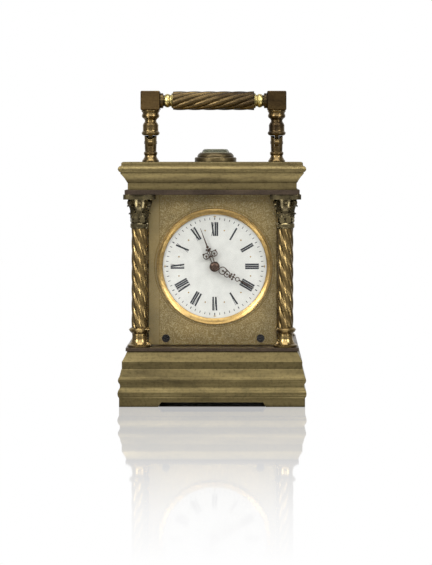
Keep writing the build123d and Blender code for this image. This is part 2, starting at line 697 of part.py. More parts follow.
with BuildPart() as handle_grip:
    add(Solid.extrude_linear_with_rotation(
        Pos(0, 0, GRIP_Z) * grip_section.sketch.faces()[0], (-GRIP_HALF, 0, GRIP_Z),
        (2 * GRIP_HALF, 0, 0), -360 * 2 * GRIP_HALF / GRIP_LEAD))
    with BuildPart(mode=Mode.PRIVATE) as ends:
        end_points = [(0, -GRIP_HALF + 1), (4.4, -GRIP_HALF + 1), (4.2, -GRIP_HALF - 0.7), (3.3, -GRIP_HALF - 1.1),
                      (3.2, -GRIP_HALF - 1.6), (3.75, -GRIP_HALF - 2.4), (3.85, -GRIP_HALF - 3.3),
                      (3.6, -GRIP_HALF - 4.2), (3.1, -GRIP_HALF - 4.8), (3.1, -GRIP_INNER + 2.0),
                      (4.25, -GRIP_INNER + 1.6), (4.25, -GRIP_INNER), (1.55, -GRIP_INNER),
                      (1.55, -GRIP_INNER - 4.5), (0, -GRIP_INNER - 4.5)]
        add(turned(end_points).rotate(Axis.Y, 90))
        mirror(about=Plane.YZ)
    add(Pos(0, 0, GRIP_Z) * ends.part)
save(handle_grip.part, "handle_grip")

# Mask, its screws, the gilt bezel and the enamel dial
SCREW_PLACES = [(-25.6, 35.4), (26.2, 35.4)]
with BuildPart() as dial_mask:
    with BuildSketch(facing(0, MASK_FRONT + MASK_THICK, (MASK_LOW + MASK_TOP) / 2)):
        RectangleRounded(2 * MASK_X, MASK_TOP - MASK_LOW, 0.6)
        with Locations((DIAL_X, DIAL_Z - (MASK_LOW + MASK_TOP) / 2)):
            Circle(DIAL_FACE_R + 0.5, mode=Mode.SUBTRACT)
        for sx, sz in SCREW_PLACES:
            with Locations((sx, sz - (MASK_LOW + MASK_TOP) / 2)):
                Circle(1.1, mode=Mode.SUBTRACT)
    extrude(amount=MASK_THICK)
save(dial_mask.part, "dial_mask")
with BuildPart() as mask_screws:
    for place in SCREW_PLACES:
        add(slotted_screw(place, FRONT_Y + 0.8, MASK_FRONT, 1.0, MASK_FRONT - 0.9, 2.15))
save(mask_screws.part, "mask_screws")
with BuildPart() as dial_bezel:
    with BuildSketch(Plane(origin=(DIAL_X, 0, DIAL_Z), x_dir=(1, 0, 0), z_dir=(0, 0, 1))):
        with BuildLine():
            face = MASK_FRONT
            foot_r = DIAL_FACE_R + 0.4
            Polyline((foot_r, face + 0.9), (foot_r, face), (foot_r + 3.05, face), (foot_r + 3.05, face - 1.3),
                     (foot_r + 2.8, face - 1.6), (foot_r + 2.4, face - 1.65), (foot_r + 1.6, face - 1.1),
                     (foot_r + 0.7, face - 0.7), (foot_r, face - 0.45), (foot_r - 0.35, face - 0.2),
                     (foot_r - 0.35, face + 0.9), close=True)
        make_face()
    revolve(axis=Axis((DIAL_X, 0, DIAL_Z), (0, 1, 0)))
save(dial_bezel.part, "dial_bezel")
DIAL_BACK = MASK_FRONT + MASK_THICK + 1.2
with BuildPart() as dial:
    add(front_disc(CENTRE, DIAL_BACK, MASK_FRONT + MASK_THICK, DIAL_R, 2.6))
    add(front_disc(CENTRE, MASK_FRONT + MASK_THICK, MASK_FRONT + 0.95, DIAL_FACE_R, 2.6))
    for turn in (45, 165, 285):
        foot = (DIAL_X + 24 * cos(radians(turn)), DIAL_Z + 24 * sin(radians(turn)))
        add(front_disc(foot, FRONT_Y, DIAL_BACK, 1.0))
save(dial.part, "dial")

# Movement plates, drilled for every arbor
PILLARS = [(DIAL_X - 26.5, 95.5), (DIAL_X + 26.5, 95.5), (DIAL_X + 26.0, 50.0), (DIAL_X - 26.8, 66.0)]
BEARERS = [(DIAL_X - 24.0, 35.0), (DIAL_X + 24.0, 35.0)]
ARBORS = [INTERMEDIATE, THIRD, CONTRATE]


def movement_plate(back, front, holes):
    with BuildPart() as plate:
        with BuildSketch(facing(DIAL_X, back, (FLOOR_TOP + PLATE_TOP) / 2)):
            Rectangle(2 * PLATE_X, PLATE_TOP - FLOOR_TOP)
        extrude(amount=back - front)
        for place, radius in holes:
            add(front_disc(place, back + 1, front - 1, radius), mode=Mode.SUBTRACT)
    return plate.part


shared = [(place, PIVOT_HOLE_R) for place in ARBORS] + [(place, 1.1) for place in PILLARS]
front_holes = shared + [(CENTRE, 1.26), (BARREL, 1.86), (SETTING, 0.96)]
front_holes += [(place, 1.05) for place in SCREW_PLACES]
back_holes = shared + [(CENTRE, 0.86), (BARREL, 2.26), (SETTING, 0.96)]
FRONT_INNER = FRONT_Y + PLATE_THICK
BACK_OUTER = BACK_Y + PLATE_THICK
with BuildPart() as front_plate:
    add(movement_plate(FRONT_INNER, FRONT_Y, front_holes))
    for place in SCREW_PLACES:
        add(front_disc(place, FRONT_Y, MASK_FRONT + MASK_THICK, 2.2, 1.05))
    add(front_disc(MINUTE, FRONT_Y, -23.3, 0.55))
save(front_plate.part, "front_plate")
with BuildPart() as back_plate:
    add(movement_plate(BACK_OUTER, BACK_Y, back_holes))
    add(front_disc((3.5, 57.9), 22.3, BACK_OUTER, 1.0))
    add(front_disc((3.5, 57.9), 22.3, 21.5, 1.8))
save(back_plate.part, "back_plate")

# Pillars between the plates and a screw at each end
with BuildPart() as pillars:
    for place in PILLARS:
        add(front_disc(place, BACK_Y, FRONT_INNER, 2.4, 1.05))
        add(front_disc(place, BACK_Y, BACK_Y - 2.5, 3.1, 1.05))
        add(front_disc(place, FRONT_INNER + 2.5, FRONT_INNER, 3.1, 1.05))
save(pillars.part, "pillars")
with BuildPart() as plate_screws:
    for place in PILLARS:
        add(slotted_screw(place, FRONT_INNER + 6, FRONT_Y, 1.0, FRONT_Y - 1.2, 2.0))
        add(slotted_screw(place, FRONT_INNER + 6, FRONT_Y, 1.0, FRONT_Y - 1.2, 2.0).mirror(
            Plane(origin=(0, (FRONT_Y + BACK_OUTER) / 2, 0), z_dir=(0, 1, 0))))
save(plate_screws.part, "plate_screws")

# Square bearers under the movement, screwed from below
with BuildPart() as movement_bearers:
    for sx in (-1, 1):
        with BuildPart(mode=Mode.PRIVATE) as bearer:
            add(block(DIAL_X + sx * 20 - 3, DIAL_X + sx * 20 + 3, FRONT_INNER, BACK_Y, FLOOR_TOP, FLOOR_TOP + 5.2))
            for depth in (-14, 13):
                add(upright((DIAL_X + sx * 20, depth), FLOOR_TOP - 1, FLOOR_TOP + 4.2, 1.05), mode=Mode.SUBTRACT)
        add(bearer.part)
save(movement_bearers.part, "movement_bearers")
with BuildPart() as bearer_screws:
    for sx in (-1, 1):
        for depth in (-14, 13):
            spot = (DIAL_X + sx * 20, depth)
            add(upright(spot, BASE_TOP, FLOOR_TOP + 4.0, 1.0))
            add(upright(spot, BASE_TOP - 1.4, BASE_TOP, 2.1))
            with BuildSketch(Plane.XY.offset(BASE_TOP - 1.4)):
                with Locations(spot):
                    Rectangle(5, 0.6)
            extrude(amount=0.6, mode=Mode.SUBTRACT)
save(bearer_screws.part, "bearer_screws")

# Platform across the plate tops, with the bracket for the lower escape pivot
COCK_TOP = 113.0
ESCAPE_COCK_LOW = 107.0
BRACKET_LOW = 94.6
with BuildPart() as platform:
    with BuildSketch(Plane.XY.offset(PLATE_TOP)):
        with Locations((1.0, (PLATFORM_FRONT + PLATFORM_BACK) / 2)):
            Rectangle(28.0, PLATFORM_BACK - PLATFORM_FRONT)
        with Locations(ESCAPE):
            Circle(0.95, mode=Mode.SUBTRACT)
        with Locations(LEVER, BALANCE):
            Circle(0.36, mode=Mode.SUBTRACT)
    extrude(amount=PLATFORM_THICK)
    add(block(0.6, 3.4, 11.0, 12.8, BRACKET_LOW, PLATE_TOP))
    add(block(0.6, 3.4, 9.05, 11.0, BRACKET_LOW, BRACKET_LOW + 1.0))
    add(upright(ESCAPE, BRACKET_LOW - 1, BRACKET_LOW + 2, 0.31), mode=Mode.SUBTRACT)
    for spot in [(-10.0, -19.5), (12.0, -19.5), (-10.0, 18.5), (12.0, 18.5)]:
        add(upright(spot, PLATE_TOP - 1, PLATFORM_TOP + 1, 0.75), mode=Mode.SUBTRACT)
save(platform.part, "platform")
with BuildPart() as platform_screws:
    for spot in [(-10.0, -19.5), (12.0, -19.5), (-10.0, 18.5), (12.0, 18.5)]:
        add(upright(spot, PLATE_TOP, PLATFORM_TOP, 0.7))
        add(upright(spot, PLATFORM_TOP, PLATFORM_TOP + 1.0, 1.4))
save(platform_screws.part, "platform_screws")

# Escape and lever cock: one bridge over both pivots
with BuildPart() as escape_cock:
    add(block(-8.5, -4.5, 3.0, 11.6, PLATFORM_TOP, ESCAPE_COCK_LOW))
    add(block(-8.5, 4.0, 8.0, 11.6, ESCAPE_COCK_LOW, ESCAPE_COCK_LOW + 1.2))
    add(block(-8.5, 3.6, 3.2, 6.0, ESCAPE_COCK_LOW, ESCAPE_COCK_LOW + 1.2))
    add(upright(ESCAPE, ESCAPE_COCK_LOW - 1, ESCAPE_COCK_LOW + 2, 0.31), mode=Mode.SUBTRACT)
    add(upright(LEVER, ESCAPE_COCK_LOW - 1, ESCAPE_COCK_LOW + 2, 0.31), mode=Mode.SUBTRACT)
save(escape_cock.part, "escape_cock")

# Balance cock
BALANCE_LOW = 109.2
HAIR_LOW = COCK_TOP - 2.6
HAIR_HIGH = 0.5
HAIR_START = 1.1
HAIR_PITCH = 0.72
HAIR_THICK = 0.12
HAIR_HALVES = 11
STUD_X = BALANCE[0] - HAIR_PITCH / 4 - HAIR_START - (HAIR_HALVES - 1) * HAIR_PITCH / 2
with BuildPart() as balance_cock:
    add(block(-1.5, 5.5, -17.0, -12.6, PLATFORM_TOP, COCK_TOP))
    add(block(-0.2, 4.2, -17.0, BALANCE[1] - 1, COCK_TOP, COCK_TOP + 1.4))
    add(upright(BALANCE, COCK_TOP, COCK_TOP + 1.4, 3.0))
    add(block(STUD_X - 0.32, BALANCE[0], BALANCE[1] - 0.7, BALANCE[1] + 0.5, COCK_TOP, COCK_TOP + 1.2))
    add(block(STUD_X - 0.32, STUD_X + 0.32, BALANCE[1] - 0.7, BALANCE[1], HAIR_LOW, COCK_TOP))
    add(upright(BALANCE, COCK_TOP - 1, COCK_TOP + 2, 0.31), mode=Mode.SUBTRACT)
save(balance_cock.part, "balance_cock")

# Balance wheel with staff, roller and two-armed rim
with BuildPart() as balance_wheel:
    add(upright(BALANCE, BALANCE_LOW, BALANCE_LOW + 1.0, BALANCE_R, BALANCE_R - 1.0))
    with BuildSketch(Plane.XY.offset(BALANCE_LOW)):
        with Locations(BALANCE):
            Rectangle(2 * BALANCE_R - 1.0, 1.0)
            Circle(1.5)
    extrude(amount=0.8)
    for turn in range(0, 360, 30):
        rim = (BALANCE[0] + BALANCE_R * cos(radians(turn + 15)), BALANCE[1] + BALANCE_R * sin(radians(turn + 15)))
        add(upright(rim, BALANCE_LOW + 0.15, BALANCE_LOW + 0.85, 0.45))
    add(upright(BALANCE, PLATFORM_TOP + END_GAP, COCK_TOP - END_GAP, 0.6))
    add(upright(BALANCE, 106.6, 107.2, 1.9))
    add(upright(BALANCE, PLATE_TOP + 0.3, PLATFORM_TOP + 1, 0.3))
    add(upright(BALANCE, COCK_TOP - 1, COCK_TOP + 1.1, 0.25))
save(balance_wheel.part, "balance_wheel")


def spiral(start_r, pitch, half_turns, thick):
    """Flat strip wound outward in half circles about the origin."""
    with BuildSketch() as coil:
        with BuildLine():
            for side in (-thick / 2, thick / 2):
                for turn in range(half_turns):
                    radius = start_r + turn * pitch / 2 + side
                    middle = pitch / 4 if turn % 2 else -pitch / 4
                    sign = -1 if turn % 2 else 1
                    ThreePointArc((middle + sign * radius, 0), (middle, sign * radius),
                                  (middle - sign * radius, 0))
            inner = start_r - pitch / 4
            Line((inner - thick / 2, 0), (inner + thick / 2, 0))
            last = start_r + (half_turns - 1) * pitch / 2
            final = last + pitch / 4 if half_turns % 2 == 0 else -last - pitch / 4
            Line((final - thick / 2, 0), (final + thick / 2, 0))
        make_face()
    print("spiral gap", round(pitch - thick, 2))
    return coil.sketch


# Flat balance spring held by the stud on the cock
with BuildPart() as hairspring:
    coil = Pos(BALANCE[0], BALANCE[1], HAIR_LOW) * spiral(HAIR_START, HAIR_PITCH, HAIR_HALVES, HAIR_THICK)
    extrude(coil, amount=HAIR_HIGH)
save(hairspring.part, "hairspring")

# Lever with pallets and fork
LEVER_LOW = 104.0
LEVER_HIGH = 0.7
COCK_PIVOT_TOP = ESCAPE_COCK_LOW + 1.0
with BuildPart() as lever:
    with BuildSketch(Plane(origin=(LEVER[0], LEVER[1], LEVER_LOW))):
        with BuildLine():
            half_fork = [(-0.9, -6.3), (-0.45, -6.3), (-0.35, -5.3), (0.0, -5.2)]
            arm = [(-0.95, -5.0), (-0.35, -4.2), (-0.35, -1.0), (-3.5, 2.3), (-3.6, 3.2), (-3.0, 3.2),
                   (-2.8, 2.6), (-0.3, 1.0)]
            outline = half_fork[::-1] + arm
            Polyline(*(outline + [(-x, y) for x, y in reversed(outline) if x != 0.0]), close=True)
        make_face()
    extrude(amount=LEVER_HIGH)
    add(upright(LEVER, PLATFORM_TOP + END_GAP, ESCAPE_COCK_LOW - END_GAP, 0.4))
    add(upright(LEVER, PLATE_TOP + 0.3, PLATFORM_TOP + 1, 0.3))
    add(upright(LEVER, ESCAPE_COCK_LOW - 1, COCK_PIVOT_TOP, 0.25))
save(lever.part, "lever")

# Escape wheel on its upright pinion
CROWN_PITCH_Y = 8.9
with BuildPart() as escape_wheel:
    with BuildSketch(Plane(origin=(ESCAPE[0], ESCAPE[1], 96.0))):
        with BuildLine():
            Polyline(*tooth_outline(7, 0.2, 0.55, 0.9, 0.36, -pi / 2), close=True)
        make_face()
    extrude(amount=2.2)
    add(upright(ESCAPE, 94.9, 96.0, 0.25))
    add(upright(ESCAPE, 98.2, ESCAPE_COCK_LOW - END_GAP, 0.45))
    add(upright(ESCAPE, ESCAPE_COCK_LOW - 1, COCK_PIVOT_TOP, 0.25))
    with BuildSketch(Plane(origin=(ESCAPE[0], ESCAPE[1], LEVER_LOW))):
        with BuildLine():
            points = []
            for tooth in range(ESCAPE_TEETH):
                middle = 2 * pi * tooth / ESCAPE_TEETH
                for radius, turn in [(ESCAPE_R - 0.9, -0.10), (ESCAPE_R, 0.06), (ESCAPE_R, 0.10),
                                     (ESCAPE_R - 0.9, 0.08)]:
                    points.append((radius * cos(middle + turn), radius * sin(middle + turn)))
            Polyline(*points, close=True)
        make_face()
        Circle(1.6, mode=Mode.SUBTRACT)
        Circle(0.9)
        Rectangle(3.6, 0.5)
        Rectangle(0.5, 3.6)
    extrude(amount=LEVER_HIGH)
save(escape_wheel.part, "escape_wheel")


def train_arbor(place, radius=ARBOR_R, pivot=PIVOT_R):
    """Arbor between the plates with a pivot in each."""
    low = front_disc(place, BACK_Y - END_GAP, FRONT_INNER + END_GAP, radius)
    ends = front_disc(place, BACK_OUTER, FRONT_Y, pivot)
    return join(low, ends)


# Going barrel with its great wheel, and the arbor through it
GREAT_BACK = -15.7
GREAT_FRONT = -17.5
DRUM_BACK = 6.3
DRUM_R = 16.0
CORE_R = 5.0
BARREL_HOLE_R = 2.66
with BuildPart() as barrel:
    add(wheel(BARREL, GREAT_BACK, GREAT_FRONT, 84, GREAT_M, spokes=0, hole=BARREL_HOLE_R))
    add(front_disc(BARREL, DRUM_BACK, GREAT_BACK, DRUM_R, DRUM_R - 1.0))
    add(front_disc(BARREL, DRUM_BACK, DRUM_BACK - 1.0, DRUM_R - 0.5, BARREL_HOLE_R))
save(barrel.part, "barrel")
SPRING_START = 6.07
SPRING_PITCH = 1.0
SPRING_THICK = 0.35
with BuildPart() as mainspring:
    coil = facing(BARREL[0], DRUM_BACK - 2.0, BARREL[1]).location * spiral(SPRING_START, SPRING_PITCH, 18,
                                                                          SPRING_THICK)
    extrude(coil, amount=DRUM_BACK - 2.0 - GREAT_BACK - 1.0)
save(mainspring.part, "mainspring")
RATCHET_BACK = 21.4
RATCHET_FRONT = 20.0
RATCHET_R = 6.0
with BuildPart() as barrel_arbor:
    add(front_disc(BARREL, DRUM_BACK - 1.0 - END_GAP, GREAT_BACK + END_GAP, CORE_R))
    add(front_disc(BARREL, BACK_Y - END_GAP, FRONT_INNER + END_GAP, BARREL_HOLE_R - FIT))
    add(front_disc(BARREL, RATCHET_BACK, FRONT_Y, 1.8))
    add(front_disc(BARREL, RATCHET_BACK, BACK_Y - END_GAP, 2.2))
    with BuildSketch(facing(BARREL[0], 27.5, BARREL[1])):
        Rectangle(2.9, 2.9)
    extrude(amount=27.5 - RATCHET_BACK)
save(barrel_arbor.part, "barrel_arbor")
with BuildPart() as ratchet_wheel:
    with BuildSketch(facing(BARREL[0], RATCHET_BACK, BARREL[1])):
        with BuildLine():
            points = []
            for tooth in range(20):
                middle = 2 * pi * tooth / 20
                points.append((RATCHET_R * cos(middle), RATCHET_R * sin(middle)))
                points.append(((RATCHET_R - 1.0) * cos(middle + 0.02), (RATCHET_R - 1.0) * sin(middle + 0.02)))
            Polyline(*points, close=True)
        make_face()
        Circle(2.2, mode=Mode.SUBTRACT)
    extrude(amount=RATCHET_BACK - RATCHET_FRONT)
save(ratchet_wheel.part, "ratchet_wheel")

# Click on its stud, and the spring that presses it
CLICK = (3.5, 57.9)
with BuildPart() as click:
    with BuildSketch(facing(0, 21.2, 0)):
        with BuildLine():
            Polyline((3.5, 59.7), (-2.6, 59.6), (-3.36, 58.53), (3.5, 56.1), close=True)
        make_face()
        with Locations(CLICK):
            Circle(1.8)
            Circle(1.0 + FIT, mode=Mode.SUBTRACT)
    extrude(amount=1.2)
save(click.part, "click")
with BuildPart() as click_spring:
    add(block(1.0, 10.0, 20.1, 21.1, 60.25, 60.65))
    add(block(9.0, 12.0, BACK_OUTER, 21.3, 59.0, 62.0))
save(click_spring.part, "click_spring")

# Train wheels
inter_pinion_phase = mesh_phase(BARREL, 84, 0.0, INTERMEDIATE, 14)
with BuildPart() as intermediate_wheel:
    add(train_arbor(INTERMEDIATE))
    add(pinion(INTERMEDIATE, -15.5, -17.9, 14, GREAT_M, inter_pinion_phase))
    add(wheel(INTERMEDIATE, 9.2, 8.0, 66, INTER_M))
    add(front_disc(INTERMEDIATE, 10.4, 9.2, 1.9))
save(intermediate_wheel.part, "intermediate_wheel")
centre_pinion_phase = mesh_phase(INTERMEDIATE, 66, 0.0, CENTRE, 12)
CANNON_BACK = -21.0
HAND_TIP_Y = -29.4
with BuildPart() as centre_wheel:
    add(front_disc(CENTRE, BACK_Y - END_GAP, FRONT_Y - 0.3, 1.2))
    add(front_disc(CENTRE, BACK_OUTER, BACK_Y - END_GAP, 0.8))
    add(front_disc(CENTRE, FRONT_Y, HAND_TIP_Y, 0.9))
    add(pinion(CENTRE, 9.8, 7.4, 12, INTER_M, centre_pinion_phase))
    add(wheel(CENTRE, 12.6, 11.5, 80, CENTRE_M))
save(centre_wheel.part, "centre_wheel")
third_pinion_phase = mesh_phase(CENTRE, 80, 0.0, THIRD, 10)
with BuildPart() as third_wheel:
    add(train_arbor(THIRD))
    add(pinion(THIRD, 13.0, 11.1, 10, CENTRE_M, third_pinion_phase))
    add(wheel(THIRD, -5.0, -6.0, 75, THIRD_M, hub=2.0))
save(third_wheel.part, "third_wheel")
contrate_pinion_phase = mesh_phase(THIRD, 75, 0.0, CONTRATE, 10)
CROWN_R = 7.0
CROWN_ROOT_Y = 8.55
CROWN_TIP_Y = 9.02
with BuildPart() as contrate_wheel:
    add(train_arbor(CONTRATE, 0.8))
    add(pinion(CONTRATE, -4.5, -6.5, 10, THIRD_M, contrate_pinion_phase))
    add(front_disc(CONTRATE, CROWN_ROOT_Y, 7.0, CROWN_R + 0.4, CROWN_R - 0.4))
    with BuildSketch(facing(CONTRATE[0], CROWN_TIP_Y, CONTRATE[1])):
        with PolarLocations(CROWN_R, 70):
            Rectangle(0.8, 0.24)
    extrude(amount=CROWN_TIP_Y - CROWN_ROOT_Y)
    with BuildSketch(facing(CONTRATE[0], 7.8, CONTRATE[1])):
        Circle(1.8)
        Rectangle(2 * CROWN_R, 1.0)
        Rectangle(1.0, 2 * CROWN_R)
    extrude(amount=0.8)
save(contrate_wheel.part, "contrate_wheel")

# Motion work under the dial
with BuildPart() as cannon_pinion:
    cannon_phase = mesh_phase(MINUTE, 36, 0.0, CENTRE, 12)
    add(pinion(CENTRE, CANNON_BACK, -22.2, 12, HAND_M, cannon_phase, 0.92))
    add(front_disc(CENTRE, -22.2, -29.0, 1.2, 0.92))
save(cannon_pinion.part, "cannon_pinion")
minute_pinion_phase = 0.0
with BuildPart() as minute_wheel:
    add(wheel(MINUTE, -21.1, -22.1, 36, HAND_M, spokes=0, hole=0.61))
    add(pinion(MINUTE, -22.1, -23.3, 10, HOUR_M, minute_pinion_phase, 0.61))
save(minute_wheel.part, "minute_wheel")
with BuildPart() as hour_wheel:
    hour_phase = mesh_phase(MINUTE, 10, minute_pinion_phase, CENTRE, 40)
    add(wheel(CENTRE, -22.6, -23.3, 40, HOUR_M, hour_phase, spokes=0, hole=1.27))
    add(front_disc(CENTRE, -23.3, -27.6, 1.9, 1.27))
save(hour_wheel.part, "hour_wheel")
with BuildPart() as setting_arbor:
    setting_phase = mesh_phase(MINUTE, 36, 0.0, SETTING, 16)
    add(pinion(SETTING, -21.1, -22.1, 16, HAND_M, setting_phase))
    add(front_disc(SETTING, 20.4, -22.3, 0.9))
    add(front_disc(SETTING, FRONT_Y - 0.3, -21.1, 1.3))
    add(front_disc(SETTING, BACK_Y - END_GAP, BACK_Y - 1.5, 1.5))
    with BuildSketch(facing(SETTING[0], 26.5, SETTING[1])):
        Rectangle(1.5, 1.5)
    extrude(amount=26.5 - 19.8)
save(setting_arbor.part, "setting_arbor")

# Pierced hands of thin wire scrolls, drawn pointing up and then turned clockwise
MINUTE_TURN = 119.0
HOUR_TURN = 339.5
MINUTE_TIP = 24.4
HOUR_TIP = 22.4
WIRE = 0.42
KNOP_R = 0.55
BOSS_R = 2.75
HAND_Y = -28.2
HOUR_Y = -26.9
HAND_THICK = 0.7
HOUR_THICK = 0.6
CANNON_R = 1.2
CANNON_TIP = -29.0


def ring(radius):
    """A ring of wire, as a flat sketch."""
    with BuildSketch() as shape:
        Circle(radius + WIRE / 2)
        Circle(radius - WIRE / 2, mode=Mode.SUBTRACT)
    return shape.sketch


def strand(x0, y0, x1, y1):
    """A straight wire between two points, as a flat sketch."""
    with BuildSketch() as shape:
        with Locations(Location(((x0 + x1) / 2, (y0 + y1) / 2, 0), (0, 0, degrees(atan2(y1 - y0, x1 - x0))))):
            Rectangle(hypot(x1 - x0, y1 - y0) + WIRE, WIRE)
    return shape.sketch


def needle(low, tip, half):
    """A slim tapering point, as a flat sketch."""
    with BuildSketch() as shape:
        with BuildLine():
            Polyline((-half, low), (-0.12, tip), (0.12, tip), (half, low), close=True)
        make_face()
    return shape.sketch


with BuildPart() as minute_hand:
    with BuildSketch(facing(DIAL_X, HAND_Y, DIAL_Z)) as minute_shape:
        Circle(BOSS_R)
        with Locations((-0.2, 4.9)):
            add(ring(2.0))
        with Locations((0.3, 7.9)):
            add(ring(1.6))
        add(strand(-2.1, 5.6, -1.2, 8.6))
        add(strand(-0.2, 5.2, -0.2, 6.9))
        add(strand(0.3, 8.0, 0.3, 9.5))
        with Locations((-0.2, 5.1), (0.3, 7.9)):
            Circle(KNOP_R)
        add(strand(0, 9.3, 0, 13.2))
        add(strand(-1.3, 11.6, 1.3, 11.6))
        with Locations((-1.4, 11.6), (1.4, 11.6), (0, 11.6), (-0.9, 10.1), (0.9, 10.1)):
            Circle(KNOP_R)
        add(strand(-0.9, 10.1, 0.9, 10.1))
        with Locations((0, 14.2)):
            add(ring(1.05))
        add(needle(15.1, MINUTE_TIP, 0.36))
        Circle(CANNON_R, mode=Mode.SUBTRACT)
    extrude(amount=HAND_THICK)
    with BuildSketch(Plane(origin=(DIAL_X, 0, DIAL_Z), x_dir=(1, 0, 0), z_dir=(0, 0, 1))):
        with BuildLine():
            front = HAND_Y - HAND_THICK
            Polyline((CANNON_R, front), (2.35, front), (2.1, front - 0.5), (1.3, front - 0.8), (0, front - 0.9),
                     (0, HAND_TIP_Y - 0.02), (0.92, HAND_TIP_Y - 0.02), (0.92, CANNON_TIP - 0.02),
                     (CANNON_R, CANNON_TIP - 0.02), close=True)
        make_face()
    revolve(axis=Axis((DIAL_X, 0, DIAL_Z), (0, 1, 0)))
save(minute_hand.part.rotate(Axis((DIAL_X, 0, DIAL_Z), (0, 1, 0)), MINUTE_TURN), "minute_hand")
with BuildPart() as hour_hand:
    with BuildSketch(facing(DIAL_X, HOUR_Y, DIAL_Z)) as hour_shape:
        Circle(BOSS_R)
        for side in (-1, 1):
            with Locations((side * 2.35, 6.8)):
                add(ring(1.55))
                Circle(KNOP_R)
            add(strand(side * 2.35, 6.8, side * 2.35, 5.3))
            add(strand(side * 0.7, 2.4, side * 0.8, 6.8))
            add(strand(side * 1.5, 8.1, 0, 9.4))
            with Locations((side * 1.0, 10.0), (side * 3.5, 8.2)):
                Circle(KNOP_R)
        add(strand(-0.8, 5.9, 0.8, 5.9))
        with Locations((0, 5.9)):
            Circle(KNOP_R)
        add(strand(0, 5.9, 0, 11.4))
        add(strand(-1.0, 10.0, 1.0, 10.0))
        with Locations((0, 9.4), (0, 11.4)):
            Circle(0.75)
        add(needle(11.4, HOUR_TIP, 0.42))
        Circle(1.9, mode=Mode.SUBTRACT)
    extrude(amount=HOUR_THICK)
save(hour_hand.part.rotate(Axis((DIAL_X, 0, DIAL_Z), (0, 1, 0)), HOUR_TURN), "hour_hand")

print(len(made), "sub-parts")
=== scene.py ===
import json
import math

import bpy
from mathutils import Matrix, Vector


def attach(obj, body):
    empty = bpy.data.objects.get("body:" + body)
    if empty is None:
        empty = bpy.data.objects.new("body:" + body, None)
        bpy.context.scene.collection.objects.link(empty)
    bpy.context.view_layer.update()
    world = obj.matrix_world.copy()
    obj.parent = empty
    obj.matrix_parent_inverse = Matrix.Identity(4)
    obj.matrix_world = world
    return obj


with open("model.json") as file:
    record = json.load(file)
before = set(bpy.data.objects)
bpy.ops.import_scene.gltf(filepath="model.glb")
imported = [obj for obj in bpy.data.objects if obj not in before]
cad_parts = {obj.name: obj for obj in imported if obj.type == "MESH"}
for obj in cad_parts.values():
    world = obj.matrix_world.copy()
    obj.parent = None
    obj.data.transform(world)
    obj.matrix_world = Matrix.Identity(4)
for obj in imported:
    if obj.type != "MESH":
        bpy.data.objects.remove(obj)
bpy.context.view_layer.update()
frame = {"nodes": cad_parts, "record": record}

# The scene is in metres, and a length in millimetres is multiplied by MM
MM = 0.001

# Centre of the dial and front of its enamel, in millimetres
DIAL_X = 1.1
DIAL_Z = 74.7
DIAL_FACE_Y = -24.95

# Where the colour mix node keeps its factor, its two colours and its result
MIX_INPUTS = (0, 6, 7)
MIX_OUTPUT = 2

# Screen colours: full level, the level up to which they run straight, and the curve above it
FULL_LEVEL = 255
STRAIGHT_LEVEL = 10
STRAIGHT_SLOPE = 12.92
CURVE_OFFSET = 0.055
CURVE_POWER = 2.4

# Between these two, a noise has most of its values
NOISE_LOW = 0.3
NOISE_HIGH = 0.7


# Node helpers
def new_material(name):
    """Empty material and its node tree."""
    material = bpy.data.materials.new(name)
    material.use_nodes = True
    tree = material.node_tree
    tree.nodes.clear()
    return material, tree


def link(tree, source, target):
    tree.links.new(source, target)


def feed(tree, value, target):
    """Link an output to an input, or set the input to a plain value."""
    if hasattr(value, "links"):
        link(tree, value, target)
    else:
        target.default_value = value


def show(tree, shader):
    """Make a shader the surface of its material."""
    output = tree.nodes.new("ShaderNodeOutputMaterial")
    link(tree, shader, output.inputs["Surface"])


def ramp(tree, source, stops):
    """Colours over a value, with stops as (place, colour) from low to high."""
    made = tree.nodes.new("ShaderNodeValToRGB")
    points = made.color_ramp.elements
    for point, (place, colour) in zip(points, (stops[0], stops[-1])):
        point.position = place
        point.color = colour
    for place, colour in stops[1:-1]:
        point = points.new(place)
        point.color = colour
    link(tree, source, made.inputs["Fac"])
    return made.outputs["Color"]


def noise_ramp(tree, source, low, high):
    """Two colours over a noise."""
    return ramp(tree, source, [(NOISE_LOW, low), (NOISE_HIGH, high)])


def grey(level):
    return (level, level, level, 1.0)


def grey_ramp(tree, source, stops):
    """Greys over a value, with stops as (place, level) from low to high."""
    return ramp(tree, source, [(place, grey(level)) for place, level in stops])


def mix(tree, factor, first, second, kind="MIX"):
    """Two colours mixed by a factor."""
    made = tree.nodes.new("ShaderNodeMix")
    made.data_type = "RGBA"
    made.blend_type = kind
    for value, place in zip((factor, first, second), MIX_INPUTS):
        feed(tree, value, made.inputs[place])
    return made.outputs[MIX_OUTPUT]


def multiply_colours(tree, first, second, share=1.0):
    return mix(tree, share, first, second, "MULTIPLY")


def maths(tree, kind, first, second=0.0):
    made = tree.nodes.new("ShaderNodeMath")
    made.operation = kind
    feed(tree, first, made.inputs[0])
    feed(tree, second, made.inputs[1])
    return made.outputs[0]


def times(tree, first, second):
    return maths(tree, "MULTIPLY", first, second)


def map_range(tree, value, low, high, to_low, to_high):
    """A value carried over from one range to another and held at its ends."""
    made = tree.nodes.new("ShaderNodeMapRange")
    for name, given in (("Value", value), ("From Min", low), ("From Max", high),
                        ("To Min", to_low), ("To Max", to_high)):
        feed(tree, given, made.inputs[name])
    return made.outputs["Result"]


def mix_shaders(tree, factor, first, second):
    made = tree.nodes.new("ShaderNodeMixShader")
    link(tree, factor, made.inputs["Fac"])
    link(tree, first, made.inputs[1])
    link(tree, second, made.inputs[2])
    return made.outputs["Shader"]


def object_place(tree):
    """The shaded point in its object's own frame."""
    return tree.nodes.new("ShaderNodeTexCoord").outputs["Object"]


